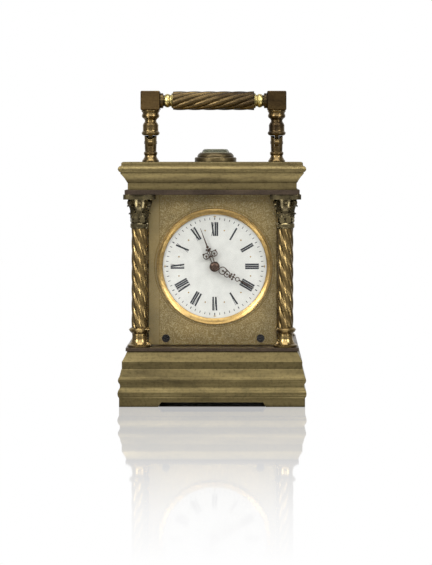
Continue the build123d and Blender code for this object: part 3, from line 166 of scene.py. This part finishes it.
def object_axes(tree):
    """X, Y and Z of the shaded point in its object's own frame."""
    axes = tree.nodes.new("ShaderNodeSeparateXYZ")
    link(tree, object_place(tree), axes.inputs["Vector"])
    return axes.outputs


def noise(tree, scale, detail=4.0, stretch=(1, 1, 1), rough=0.55, distortion=0.0):
    mapping = tree.nodes.new("ShaderNodeMapping")
    mapping.inputs["Scale"].default_value = stretch
    link(tree, object_place(tree), mapping.inputs["Vector"])
    made = tree.nodes.new("ShaderNodeTexNoise")
    made.inputs["Scale"].default_value = scale
    made.inputs["Detail"].default_value = detail
    made.inputs["Roughness"].default_value = rough
    made.inputs["Distortion"].default_value = distortion
    link(tree, mapping.outputs["Vector"], made.inputs["Vector"])
    return made.outputs["Fac"]


BEVEL_SAMPLES = 4


def finish_surface(tree, colour, roughness, height, strength, distance, metallic=1.0, coat=0.0, bevel=0.0):
    """Surface with a bump from height, and with edges that look rounded where bevel is given."""
    shader = tree.nodes.new("ShaderNodeBsdfPrincipled")
    shader.inputs["Metallic"].default_value = metallic
    shader.inputs["Coat Weight"].default_value = coat
    link(tree, colour, shader.inputs["Base Color"])
    link(tree, roughness, shader.inputs["Roughness"])
    bump = tree.nodes.new("ShaderNodeBump")
    bump.inputs["Strength"].default_value = strength
    bump.inputs["Distance"].default_value = distance
    link(tree, height, bump.inputs["Height"])
    if bevel > 0:
        rounded = tree.nodes.new("ShaderNodeBevel")
        rounded.samples = BEVEL_SAMPLES
        rounded.inputs["Radius"].default_value = bevel
        link(tree, rounded.outputs["Normal"], bump.inputs["Normal"])
    link(tree, bump.outputs["Normal"], shader.inputs["Normal"])
    show(tree, shader.outputs["BSDF"])


def linear(level):
    """Linear light from one level of a screen colour."""
    share = level / FULL_LEVEL
    if level <= STRAIGHT_LEVEL:
        return share / STRAIGHT_SLOPE
    return ((share + CURVE_OFFSET) / (1 + CURVE_OFFSET)) ** CURVE_POWER


def rgb(red, green, blue):
    """Linear colour from an 8-bit screen colour."""
    return (linear(red), linear(green), linear(blue), 1.0)


# Aged brass: noises, as multiples of the patches
FINE_PER_PATCH = 14
STREAKS_PER_PATCH = 5
STREAK_STRETCH = (0.25, 0.25, 3.0)

# Aged brass: noise levels of the tarnish colours and the specks, and shares of what is laid over
TARNISH_PLACES = (0.30, 0.50, 0.70)
STREAK_SHARE = 0.35
SPECK_STOPS = ((0.32, 0.62), (0.52, 1.0))
SPECK_SHARE = 0.7

# Aged brass: grime and painted shade in the hollows, and the bumps, made by the specks and the streaks alike
DIRT_AND_SHADE_FULL = 0.35
DIRT_AND_SHADE_NONE = 0.9
DIRT_AND_SHADE_SAMPLES = 6
BUMP_DEPTH = 0.06 * MM
BUMP_SHARE = 0.5

# Painted highlight on the two necks of the grip: their distance from its middle, and half their width
NECK_X = 25.4 * MM
NECK_HALF = 2.3 * MM


def painted_neck_highlights(tree, colour, neck_highlight_colour):
    """Painted highlight: another colour on the two necks of the grip."""
    away = maths(tree, "ABSOLUTE", object_axes(tree)["X"])
    reach = maths(tree, "ABSOLUTE", maths(tree, "SUBTRACT", away, NECK_X))
    return mix(tree, maths(tree, "LESS_THAN", reach, NECK_HALF), colour, neck_highlight_colour)


def painted_shade_right(tree, colour, level):
    """Painted shade: darker to the right of the middle."""
    right = maths(tree, "GREATER_THAN", object_axes(tree)["X"], 0.0)
    return mix(tree, right, colour, multiply_colours(tree, colour, grey(level)))


def hollow_shade(tree, dirt_and_shade, reach):
    """Painted shade and grime: grey that darkens what lies in a hollow, judged within reach."""
    hollow = tree.nodes.new("ShaderNodeAmbientOcclusion")
    hollow.samples = DIRT_AND_SHADE_SAMPLES
    hollow.inputs["Distance"].default_value = reach
    return grey_ramp(tree, hollow.outputs["AO"], [(DIRT_AND_SHADE_FULL, 1.0 - dirt_and_shade), (DIRT_AND_SHADE_NONE, 1.0)])


def aged_brass(name, bright, mid, dark, rough=(0.28, 0.5), patch=60.0, stretch=(0.35, 0.35, 1.6),
               dirt_and_shade=0.8, dirt_and_shade_reach=2.2 * MM, bevel=0.25 * MM, bump=0.25, necks=None, right_shade=1.0):
    """Brass with tarnish patches, fine streaks, grime and painted shade in the hollows, and edges that look
    rounded.

    rough is the roughness of its bright and of its dark patches, necks the colour of the painted highlight
    on the grip's necks, and right_shade the level of the painted shade on its right half.
    """
    material, tree = new_material(name)
    clouds = noise(tree, scale=patch, detail=6.0, stretch=stretch, rough=0.62, distortion=0.6)
    fine = noise(tree, scale=patch * FINE_PER_PATCH, rough=0.6)
    streaks = noise(tree, scale=patch * STREAKS_PER_PATCH, detail=3.0, stretch=STREAK_STRETCH, rough=0.5)

    tarnish = ramp(tree, clouds, list(zip(TARNISH_PLACES, (dark, mid, bright))))
    streaks_and_painted_light = mix(tree, times(tree, streaks, STREAK_SHARE), tarnish, dark)
    # Painted highlight on the grip's necks
    if necks:
        streaks_and_painted_light = painted_neck_highlights(tree, streaks_and_painted_light, necks)
    # Painted shade on the right half
    if right_shade < 1.0:
        streaks_and_painted_light = painted_shade_right(tree, streaks_and_painted_light, right_shade)
    spotted = multiply_colours(tree, streaks_and_painted_light, grey_ramp(tree, fine, SPECK_STOPS), SPECK_SHARE)
    # Grime and painted shade in the hollows
    colour = multiply_colours(tree, spotted, hollow_shade(tree, dirt_and_shade, dirt_and_shade_reach))

    rough_bright, rough_dark = rough
    shine = map_range(tree, clouds, NOISE_LOW, NOISE_HIGH, rough_dark, rough_bright)
    height = maths(tree, "ADD", times(tree, fine, BUMP_SHARE), times(tree, streaks, BUMP_SHARE))
    finish_surface(tree, colour, shine, height, bump, BUMP_DEPTH, bevel=bevel)
    return material


# Brasses and steels: bright, middle and dark colour of each
case_brass = aged_brass("case_brass", rgb(160, 144, 98), rgb(131, 117, 79), rgb(88, 77, 53),
                        rough=(0.3, 0.48), patch=45.0)
# Base: a darker copy of the case brass, as painted shade
shaded_base_brass = aged_brass("shaded_base_brass", rgb(138, 124, 85), rgb(109, 97, 65), rgb(72, 64, 44),
                        rough=(0.32, 0.5), patch=45.0)
column_brass = aged_brass("column_brass", rgb(168, 146, 98), rgb(136, 115, 74), rgb(74, 60, 40),
                          rough=(0.2, 0.36), dirt_and_shade=0.92, dirt_and_shade_reach=1.6 * MM, bevel=0.1 * MM)
# Grip: the colour given for its necks is a painted highlight
grip_brass = aged_brass("grip_brass", rgb(130, 110, 74), rgb(98, 82, 54), rgb(52, 42, 29),
                        rough=(0.22, 0.42), dirt_and_shade=0.9, dirt_and_shade_reach=1.8 * MM, necks=rgb(184, 168, 112))
# Handle corners: painted shade on their right half
corner_brass = aged_brass("corner_brass", rgb(130, 106, 68), rgb(98, 79, 50), rgb(54, 43, 30),
                          rough=(0.24, 0.44), dirt_and_shade=0.6, dirt_and_shade_reach=1.8 * MM, right_shade=0.6)
leg_brass = aged_brass("leg_brass", rgb(168, 146, 98), rgb(122, 103, 68), rgb(62, 50, 34),
                       rough=(0.18, 0.36), dirt_and_shade=0.9, dirt_and_shade_reach=1.8 * MM, bevel=0.1 * MM)
dull_brass = aged_brass("dull_brass", rgb(136, 122, 88), rgb(104, 92, 66), rgb(60, 51, 38),
                        rough=(0.3, 0.5))
bright_brass = aged_brass("bright_brass", rgb(236, 216, 140), rgb(206, 180, 104), rgb(130, 104, 60),
                          rough=(0.16, 0.3), dirt_and_shade=0.6)
# Plate edges: darker brass that stands in for the shadow they lie in, a painted shadow
painted_shadow_brass = aged_brass("painted_shadow_brass", rgb(118, 102, 84), rgb(86, 74, 63), rgb(54, 46, 40),
                        rough=(0.3, 0.5), dirt_and_shade=0.5)
capital_bronze = aged_brass("capital_bronze", rgb(176, 160, 116), rgb(112, 102, 76), rgb(38, 34, 27),
                            rough=(0.15, 0.34), patch=160.0, stretch=(1, 1, 1),
                            dirt_and_shade=0.96, dirt_and_shade_reach=1.5 * MM, bevel=0.12 * MM)
gilt = aged_brass("gilt", rgb(216, 184, 122), rgb(192, 160, 98), rgb(152, 122, 72),
                  rough=(0.26, 0.36), dirt_and_shade=0.4, bevel=0.15 * MM, bump=0.06)
movement_brass = aged_brass("movement_brass", rgb(232, 200, 120), rgb(212, 178, 98), rgb(176, 140, 74),
                            rough=(0.18, 0.3), dirt_and_shade=0.3, bevel=0.05 * MM, bump=0.12)
steel = aged_brass("steel", rgb(190, 190, 194), rgb(160, 160, 164), rgb(120, 118, 118),
                   rough=(0.16, 0.3), dirt_and_shade=0.3, bevel=0.05 * MM, bump=0.1)
dark_steel = aged_brass("dark_steel", rgb(96, 96, 96), rgb(62, 60, 60), rgb(34, 32, 32),
                        rough=(0.25, 0.45), dirt_and_shade=0.6, bevel=0.08 * MM)
hand_bronze = aged_brass("hand_bronze", rgb(118, 98, 84), rgb(94, 76, 66), rgb(66, 52, 44),
                         rough=(0.3, 0.45), patch=300.0, dirt_and_shade=0.2, bevel=0.05 * MM)


# Engraved mask: scrolls, bent by a noise, and the stipple between them
SCROLL_SCALE = 520.0
SCROLL_RANDOM = 0.85
SCROLL_RINGS = 17.0
SCROLL_STOPS = ((0.15, 0.3), (0.8, 1.0))
BEND_SCALE = 330.0
BEND_REACH = 3.6 * MM
STIPPLE_SCALE = 1500.0
STIPPLE_STOPS = ((0.15, 0.45), (0.5, 1.0))
STIPPLE_SHARE = 0.55

# Engraved mask: plain band at the left with its line, and ring line, all from the dial's centre
# Their stops are (millimetres off the place, level)
BAND_X = -30.4 * MM
BAND_LEVEL = 0.55
BAND_STOPS = ((0.0, 0.0), (0.1, 1.0))
SIDE_LINE_X = -30.3 * MM
SIDE_LINE_STOPS = ((0.12, 0.35), (0.3, 1.0))
RING_LINE_R = 33.0 * MM
RING_LINE_STOPS = ((0.16, 0.15), (0.34, 1.0))

# Engraved mask: tint of the cuts, share of the tarnish, roughness and depth
CUT_TINT = rgb(186, 171, 140)
MASK_TARNISH = rgb(128, 108, 70)
MASK_TARNISH_SHARE = 0.35
MASK_ROUGH = 0.30
MASK_ROUGH_SPREAD = 0.22
CUT_STRENGTH = 0.35
CUT_DEPTH = 0.10 * MM


def millimetres(tree, length):
    """A length in millimetres, for ramps that are given in them."""
    return times(tree, length, 1 / MM)


def distance_from(tree, length, place):
    return maths(tree, "ABSOLUTE", maths(tree, "SUBTRACT", length, place))


def scrollwork(tree, place):
    """Closed rings round scattered points, bent so that they read as scrolls."""
    bend = tree.nodes.new("ShaderNodeTexNoise")
    bend.inputs["Scale"].default_value = BEND_SCALE
    bend.inputs["Detail"].default_value = 1.0
    link(tree, place, bend.inputs["Vector"])
    shifted = tree.nodes.new("ShaderNodeVectorMath")
    shifted.operation = "MULTIPLY_ADD"
    link(tree, bend.outputs["Color"], shifted.inputs[0])
    shifted.inputs[1].default_value = (BEND_REACH, 0.0, BEND_REACH)
    link(tree, place, shifted.inputs[2])
    swirl = tree.nodes.new("ShaderNodeTexVoronoi")
    swirl.feature = "F1"
    swirl.inputs["Scale"].default_value = SCROLL_SCALE
    swirl.inputs["Randomness"].default_value = SCROLL_RANDOM
    link(tree, shifted.outputs["Vector"], swirl.inputs["Vector"])
    rings = maths(tree, "SINE", times(tree, swirl.outputs["Distance"], SCROLL_RINGS))
    return grey_ramp(tree, rings, SCROLL_STOPS)


def stippling(tree):
    """Small pits between the scrolls."""
    stipple = tree.nodes.new("ShaderNodeTexVoronoi")
    stipple.inputs["Scale"].default_value = STIPPLE_SCALE
    link(tree, object_place(tree), stipple.inputs["Vector"])
    return grey_ramp(tree, stipple.outputs["Distance"], STIPPLE_STOPS)


def mask_drawing(tree):
    """Grey of the engraving: scrolls alike on both sides, plain band, side line and ring line."""
    axes = object_axes(tree)
    east = maths(tree, "SUBTRACT", axes["X"], DIAL_X * MM)
    up = maths(tree, "SUBTRACT", axes["Z"], DIAL_Z * MM)
    around = tree.nodes.new("ShaderNodeCombineXYZ")
    link(tree, maths(tree, "ABSOLUTE", east), around.inputs["X"])
    link(tree, up, around.inputs["Z"])
    reach = tree.nodes.new("ShaderNodeVectorMath")
    reach.operation = "LENGTH"
    link(tree, around.outputs["Vector"], reach.inputs[0])

    rings = scrollwork(tree, around.outputs["Vector"])
    scrolls = multiply_colours(tree, rings, stippling(tree), STIPPLE_SHARE)
    past_band = millimetres(tree, maths(tree, "SUBTRACT", east, BAND_X))
    cut = mix(tree, grey_ramp(tree, past_band, BAND_STOPS), grey(BAND_LEVEL), scrolls)
    from_ring = millimetres(tree, distance_from(tree, reach.outputs["Value"], RING_LINE_R))
    from_side = millimetres(tree, distance_from(tree, east, SIDE_LINE_X))
    ringed = multiply_colours(tree, cut, grey_ramp(tree, from_ring, RING_LINE_STOPS))
    return multiply_colours(tree, ringed, grey_ramp(tree, from_side, SIDE_LINE_STOPS))


def engraved_brass():
    """Mask brass with fine scroll engraving, a ring round the dial and a plain band."""
    material, tree = new_material("mask_brass")
    drawing = mask_drawing(tree)
    clouds = noise(tree, scale=45.0, detail=5.0, rough=0.6)
    fine = noise(tree, scale=900.0, detail=3.0)
    metal = noise_ramp(tree, clouds, rgb(170, 158, 120), rgb(208, 188, 136))
    cuts = multiply_colours(tree, metal, CUT_TINT)
    clean = mix(tree, drawing, cuts, metal)
    colour = mix(tree, times(tree, fine, MASK_TARNISH_SHARE), clean, MASK_TARNISH)
    rough = maths(tree, "ADD", MASK_ROUGH, times(tree, fine, MASK_ROUGH_SPREAD))
    height = tree.nodes.new("ShaderNodeRGBToBW")
    link(tree, drawing, height.inputs["Color"])
    finish_surface(tree, colour, rough, height.outputs["Val"], CUT_STRENGTH, CUT_DEPTH)
    return material


# Enamel and paint: roughness with its spread
ENAMEL_ROUGH = 0.14
ENAMEL_ROUGH_SPREAD = 0.08
PAINT_ROUGH = 0.25
PAINT_ROUGH_SPREAD = 0.2

# Glass: where the dust sets in, how it bends light, and how rough and clear it is
DUST_LOW = 0.35
GLASS_IOR = 1.5
PANE_ROUGH = 0.03
THICK_GLASS_ROUGH = 0.06
THICK_GLASS_CLEAR = 0.9


def enamel():
    """White enamel, a little uneven and glossy."""
    material, tree = new_material("enamel")
    clouds = noise(tree, scale=35.0, detail=3.0)
    fine = noise(tree, scale=700.0, detail=3.0)
    colour = noise_ramp(tree, clouds, rgb(219, 220, 214), rgb(225, 226, 220))
    rough = maths(tree, "ADD", ENAMEL_ROUGH, times(tree, fine, ENAMEL_ROUGH_SPREAD))
    finish_surface(tree, colour, rough, clouds, strength=0.05, distance=0.1 * MM, metallic=0.0, coat=0.4)
    return material


def clear_glass(name, tint, gloss):
    """Glass that shows what is behind it, with surface reflections and faint dust."""
    material, tree = new_material(name)
    through = tree.nodes.new("ShaderNodeBsdfTransparent")
    dust = noise(tree, scale=220.0, detail=5.0)
    shade = ramp(tree, dust, [(DUST_LOW, tint), (NOISE_HIGH, grey(1.0))])
    link(tree, shade, through.inputs["Color"])
    shine = tree.nodes.new("ShaderNodeBsdfGlossy")
    shine.inputs["Roughness"].default_value = PANE_ROUGH
    facing = tree.nodes.new("ShaderNodeFresnel")
    facing.inputs["IOR"].default_value = GLASS_IOR
    share = times(tree, facing.outputs["Fac"], gloss)
    show(tree, mix_shaders(tree, share, through.outputs["BSDF"], shine.outputs["BSDF"]))
    return material


def thick_glass():
    """Greenish cast glass of the porthole."""
    material, tree = new_material("thick_glass")
    shader = tree.nodes.new("ShaderNodeBsdfPrincipled")
    clouds = noise(tree, scale=300.0, detail=3.0)
    shade = noise_ramp(tree, clouds, rgb(176, 180, 150), rgb(214, 214, 186))
    link(tree, shade, shader.inputs["Base Color"])
    shader.inputs["Roughness"].default_value = THICK_GLASS_ROUGH
    shader.inputs["IOR"].default_value = GLASS_IOR
    shader.inputs["Transmission Weight"].default_value = THICK_GLASS_CLEAR
    show(tree, shader.outputs["BSDF"])
    return material


def print_paint(name, low, high):
    """Flat paint with a slight break-up between two colours."""
    material, tree = new_material(name)
    fine = noise(tree, scale=1500.0)
    colour = noise_ramp(tree, fine, low, high)
    rough = maths(tree, "ADD", PAINT_ROUGH, times(tree, fine, PAINT_ROUGH_SPREAD))
    finish_surface(tree, colour, rough, fine, strength=0.1, distance=0.02 * MM, metallic=0.0)
    return material


# Material of each slot, and of the nodes that differ from their slot
COLUMNS = 4
by_slot = {
    "case_brass": case_brass,
    "dark_plate": painted_shadow_brass,
    "mask_brass": engraved_brass(),
    "gilt": gilt,
    "movement_brass": movement_brass,
    "steel": steel,
    "dark_steel": dark_steel,
    "hand_bronze": hand_bronze,
    "capital_bronze": capital_bronze,
    "enamel": enamel(),
    "clear_glass": clear_glass("clear_glass", rgb(250, 250, 250), 0.35),
}
by_node = {
    "porthole_glass": thick_glass(),
    "porthole_bezel": dull_brass,
    "handle_grip": grip_brass,
    "handle_corners": corner_brass,
    "handle_legs": leg_brass,
    "handle_posts": leg_brass,
    "column_bases": column_brass,
    "base_moulding": shaded_base_brass,
    "door_knob": bright_brass,
}
for number in range(1, COLUMNS + 1):
    by_node["column_shaft_" + str(number)] = column_brass
for row in frame["record"]["subparts"]:
    body = frame["nodes"][row["node"]]
    body.data.materials.clear()
    body.data.materials.append(by_node.get(row["node"], by_slot[row["material_slot"]]))


# Printed dial: lifts off the enamel, in millimetres like all sizes of the print, and turns in degrees
INK_LIFT = 0.03
GOLD_LIFT = 0.04
NUMERALS = ("I", "II", "III", "IIII", "V", "VI", "VII", "VIII", "IX", "X", "XI", "XII")
HOURS = len(NUMERALS)
MINUTES = 60
QUARTERS = 4
HOUR_TURN = 360 / HOURS
MINUTE_TURN = 360 / MINUTES
QUARTER_TURN = 360 / QUARTERS

# Numerals: ends of the strokes from the dial's centre, their widths, and room for each letter
NUMERAL_IN = 16.7
NUMERAL_OUT = 24.2
THICK = 0.90
THIN = 0.24
ADVANCE = {"I": 1.07, "V": 1.75, "X": 1.8}
LETTER_GAP = 0.42
V_FOOT_SHIFT = 0.1
V_HEAD_SHIFT = 0.25
X_SPREAD = 0.2
SERIF_INSET = 0.1
SERIF_HALF = 0.06
SERIF_WIDE = 0.2

# Minute marks: ends from the dial's centre, and widths
MARK_IN = 25.5
MARK_OUT = 26.8
MARK_WIDE = 0.34
FIVE_MARK_WIDE = 0.5

# Gold dots between the numerals, and lozenges at the quarters
DOT_RING = 20.3
DOT_R = 0.42
DOT_SIDES = 16
LOZENGE_RING = 27.25
LOZENGE_HALF_WIDE = 0.9
LOZENGE_HALF_HIGH = 0.4


def add_mesh(name, verts, faces, material):
    """New object with one material."""
    mesh = bpy.data.meshes.new(name)
    mesh.from_pydata(verts, [], faces)
    mesh.validate()
    made = bpy.data.objects.new(name, mesh)
    bpy.context.scene.collection.objects.link(made)
    made.data.materials.append(material)
    return made


def flat_mesh(name, shapes, depth, material, body="case"):
    """Thin printed shapes, each a list of (x, z) points in millimetres."""
    verts = []
    faces = []
    for shape in shapes:
        start = len(verts)
        verts.extend([(x * MM, depth * MM, z * MM) for x, z in shape])
        faces.append(list(range(start, start + len(shape))))
    made = add_mesh(name, verts, faces, material)
    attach(made, body)


def polar(turn, across, out):
    """Dial point: turn in degrees clockwise from twelve, then across and outward in millimetres."""
    angle = math.radians(turn)
    x = DIAL_X + out * math.sin(angle) + across * math.cos(angle)
    z = DIAL_Z + out * math.cos(angle) - across * math.sin(angle)
    return (x, z)


def stroke(turn, foot, low, head, high, wide):
    """Bar from foot across at the radius low to head across at the radius high."""
    return [polar(turn, foot - wide / 2, low), polar(turn, foot + wide / 2, low),
            polar(turn, head + wide / 2, high), polar(turn, head - wide / 2, high)]


def tall_stroke(turn, foot, head, wide):
    """Bar over the full height of the numerals."""
    return stroke(turn, foot, NUMERAL_IN, head, NUMERAL_OUT, wide)


def letter_strokes(letter, turn, middle, lean):
    """Thick stroke of a letter, and the thin one of a V or an X."""
    if letter == "I":
        return [tall_stroke(turn, middle, middle, THICK)]
    if letter == "V":
        return [tall_stroke(turn, middle, middle - lean, THICK),
                tall_stroke(turn, middle + V_FOOT_SHIFT, middle + lean + V_HEAD_SHIFT, THIN)]
    return [tall_stroke(turn, middle + lean, middle - lean, THICK),
            tall_stroke(turn, middle - lean - X_SPREAD, middle + lean + X_SPREAD, THIN)]


def numeral(text, turn):
    """Roman numeral with its foot to the dial's centre and a serif left of each letter."""
    left = -sum(ADVANCE[letter] for letter in text) / 2
    shapes = []
    for letter in text:
        middle = left + ADVANCE[letter] / 2
        shapes.extend(letter_strokes(letter, turn, middle, ADVANCE[letter] / 2 - LETTER_GAP))
        serif = middle - ADVANCE[letter] / 2 + SERIF_INSET
        for level in (NUMERAL_IN, NUMERAL_OUT):
            shapes.append(stroke(turn, serif, level - SERIF_HALF, serif, level + SERIF_HALF, SERIF_WIDE))
        left += ADVANCE[letter]
    return shapes


def dot(turn):
    """Round gold dot."""
    x, z = polar(turn, 0, DOT_RING)
    steps = [2 * math.pi * k / DOT_SIDES for k in range(DOT_SIDES)]
    return [(x + DOT_R * math.cos(step), z + DOT_R * math.sin(step)) for step in steps]


def lozenge(turn):
    """Gold lozenge, wider than high."""
    return [polar(turn, -LOZENGE_HALF_WIDE, LOZENGE_RING), polar(turn, 0, LOZENGE_RING - LOZENGE_HALF_HIGH),
            polar(turn, LOZENGE_HALF_WIDE, LOZENGE_RING), polar(turn, 0, LOZENGE_RING + LOZENGE_HALF_HIGH)]


ink = print_paint("dial_ink", rgb(22, 24, 30), rgb(44, 48, 56))
gold = print_paint("dial_gold", rgb(140, 112, 56), rgb(176, 146, 84))
figures = []
for hour, text in enumerate(NUMERALS, 1):
    figures.extend(numeral(text, HOUR_TURN * hour))
flat_mesh("dial_numerals", figures, DIAL_FACE_Y - INK_LIFT, ink)
marks = []
for minute in range(MINUTES):
    on_hour = minute % (MINUTES // HOURS) == 0
    wide = FIVE_MARK_WIDE if on_hour else MARK_WIDE
    marks.append(stroke(MINUTE_TURN * minute, 0, MARK_IN, 0, MARK_OUT, wide))
flat_mesh("dial_minutes", marks, DIAL_FACE_Y - INK_LIFT, ink)
dots = [dot(HOUR_TURN * (hour + 0.5)) for hour in range(HOURS)]
lozenges = [lozenge(QUARTER_TURN * quarter) for quarter in range(QUARTERS)]
flat_mesh("dial_gold_marks", dots + lozenges, DIAL_FACE_Y - GOLD_LIFT, gold)


# Stage, in metres: a pale floor that mirrors the case faintly, a dark patch under the base as a painted
# contact shadow, a white backdrop
STAGE_HALF = 2
BACKDROP_Y = 1.4
BACKDROP_HIGH = 2.5
PATCH_HALF = 0.0288
PATCH_FRONT_Y = -0.0428
PATCH_BACK_Y = 0.03
PATCH_LIFT = 0.0001

# Floor: what it gives off for all but the camera, near the case, where it is dim as a painted shadow of the
# case, and far in front of it
NEAR_Y = -0.08
FAR_Y = -0.6
SHADOWED_NEAR_GLOW = 0.08
FAR_GLOW = 0.60
CAMERA_GLOW = 1.0

# Floor: how much of it is a mirror, from far in front of the case up to its foot
FADE_FROM_Y = -0.43
FADE_TO_Y = -0.045
FADE_STOPS = ((0.0, 0.0), (0.22, 0.10), (0.6, 0.40), (1.0, 0.52))
MIRROR_ROUGH = 0.035


def plane(name, corners, material):
    made = add_mesh(name, corners, [(0, 1, 2, 3)], material)


def level_plane(name, half, front, back, z, material):
    plane(name, [(-half, front, z), (half, front, z), (half, back, z), (-half, back, z)], material)


def white_glow():
    """Plain white for the backdrop."""
    material, tree = new_material("backdrop")
    light = tree.nodes.new("ShaderNodeEmission")
    light.inputs["Strength"].default_value = 1.0
    show(tree, light.outputs["Emission"])
    return material


def mirror_floor():
    """White glow for the camera, dimmer for all else and dimmest near the case as a painted shadow, that
    turns into a faint mirror toward the case.
    """
    material, tree = new_material("floor")
    y = object_axes(tree)["Y"]
    path = tree.nodes.new("ShaderNodeLightPath")
    unseen = map_range(tree, y, NEAR_Y, FAR_Y, SHADOWED_NEAR_GLOW, FAR_GLOW)
    glow = map_range(tree, path.outputs["Is Camera Ray"], 0.0, 1.0, unseen, CAMERA_GLOW)
    light = tree.nodes.new("ShaderNodeEmission")
    link(tree, glow, light.inputs["Strength"])
    shine = tree.nodes.new("ShaderNodeBsdfGlossy")
    shine.inputs["Color"].default_value = grey(1.0)
    shine.inputs["Roughness"].default_value = MIRROR_ROUGH
    fade = grey_ramp(tree, map_range(tree, y, FADE_FROM_Y, FADE_TO_Y, 0.0, 1.0), FADE_STOPS)
    show(tree, mix_shaders(tree, fade, light.outputs["Emission"], shine.outputs["BSDF"]))
    return material


level_plane("floor", STAGE_HALF, -BACKDROP_Y, BACKDROP_Y, 0, mirror_floor())
level_plane("shadow", PATCH_HALF, PATCH_FRONT_Y, PATCH_BACK_Y, PATCH_LIFT,
            print_paint("shadow", rgb(38, 32, 24), rgb(58, 48, 34)))
plane("backdrop", [(-STAGE_HALF, BACKDROP_Y, 0), (STAGE_HALF, BACKDROP_Y, 0),
                   (STAGE_HALF, BACKDROP_Y, BACKDROP_HIGH), (-STAGE_HALF, BACKDROP_Y, BACKDROP_HIGH)],
      white_glow())

# Room: warm dim light on the case, plain white for the camera
ROOM_COLOUR = (1.0, 0.985, 0.96, 1.0)
ROOM_STRENGTH = 0.34

world = bpy.data.worlds.new("studio")
bpy.context.scene.world = world
world.use_nodes = True
sky = world.node_tree
sky.nodes.clear()
path = sky.nodes.new("ShaderNodeLightPath")
room = sky.nodes.new("ShaderNodeBackground")
room.inputs["Color"].default_value = ROOM_COLOUR
room.inputs["Strength"].default_value = ROOM_STRENGTH
white = sky.nodes.new("ShaderNodeBackground")
white.inputs["Strength"].default_value = 1.0
choice = mix_shaders(sky, path.outputs["Is Camera Ray"], room.outputs["Background"],
                     white.outputs["Background"])
result = sky.nodes.new("ShaderNodeOutputWorld")
link(sky, choice, result.inputs["Surface"])


# Lights, in metres and watts
def softbox(name, place, aim_z, wide, high, watts):
    """Rectangular light that points at a height on the middle of the case."""
    lamp = bpy.data.lights.new(name, "AREA")
    lamp.shape = "RECTANGLE"
    lamp.size = wide
    lamp.size_y = high
    lamp.energy = watts
    made = bpy.data.objects.new(name, lamp)
    made.location = place
    made.rotation_euler = (Vector((0, 0, aim_z)) - Vector(place)).to_track_quat("-Z", "Y").to_euler()
    bpy.context.scene.collection.objects.link(made)


softbox("left_box", place=(-0.62, -0.72, 0.6), aim_z=0.09, wide=0.35, high=0.7, watts=9.0)
softbox("right_box", place=(0.66, -0.7, 0.58), aim_z=0.09, wide=0.3, high=0.6, watts=7.0)
softbox("top_box", place=(0.0, -0.25, 0.95), aim_z=0.1, wide=0.7, high=0.5, watts=5.5)
softbox("front_box", place=(0.1, -1.5, 0.75), aim_z=0.08, wide=0.8, high=0.5, watts=6.0)

# Camera: level, a little to the right, as far as the photo's depth cues say
# Distance in metres from the front plane, places in millimetres, and millimetres per pixel on that plane
DISTANCE = 1.0
FRONT_Y = -44.0
SIDE = 21.0
EYE_Z = 133.0
SCALE = 0.538

# Photo, in pixels: height, middle column, column of the case's middle, and middle row below the eye
PHOTO_HIGH = 565.0
MIDDLE_COLUMN = 216.0
CASE_COLUMN = 212.0
BELOW_EYE = 122.5

# Sensor in millimetres, and the nearest and farthest that the camera sees in metres
SENSOR = 36.0
NEAREST = 0.01
FARTHEST = 20.0

camera = bpy.data.cameras.new("camera")
camera.sensor_fit = "AUTO"
camera.sensor_width = SENSOR
camera.lens = DISTANCE / MM / SCALE * SENSOR / PHOTO_HIGH
camera.shift_y = -BELOW_EYE / PHOTO_HIGH
camera.shift_x = (MIDDLE_COLUMN - (CASE_COLUMN + SIDE / SCALE)) / PHOTO_HIGH
camera.clip_start = NEAREST
camera.clip_end = FARTHEST
eye = bpy.data.objects.new("camera", camera)
eye.location = (SIDE * MM, FRONT_Y * MM - DISTANCE, EYE_Z * MM)
eye.rotation_euler = (math.radians(90), 0, 0)
bpy.context.scene.collection.objects.link(eye)
bpy.context.scene.camera = eye
bpy.context.scene.view_settings.view_transform = "Standard"
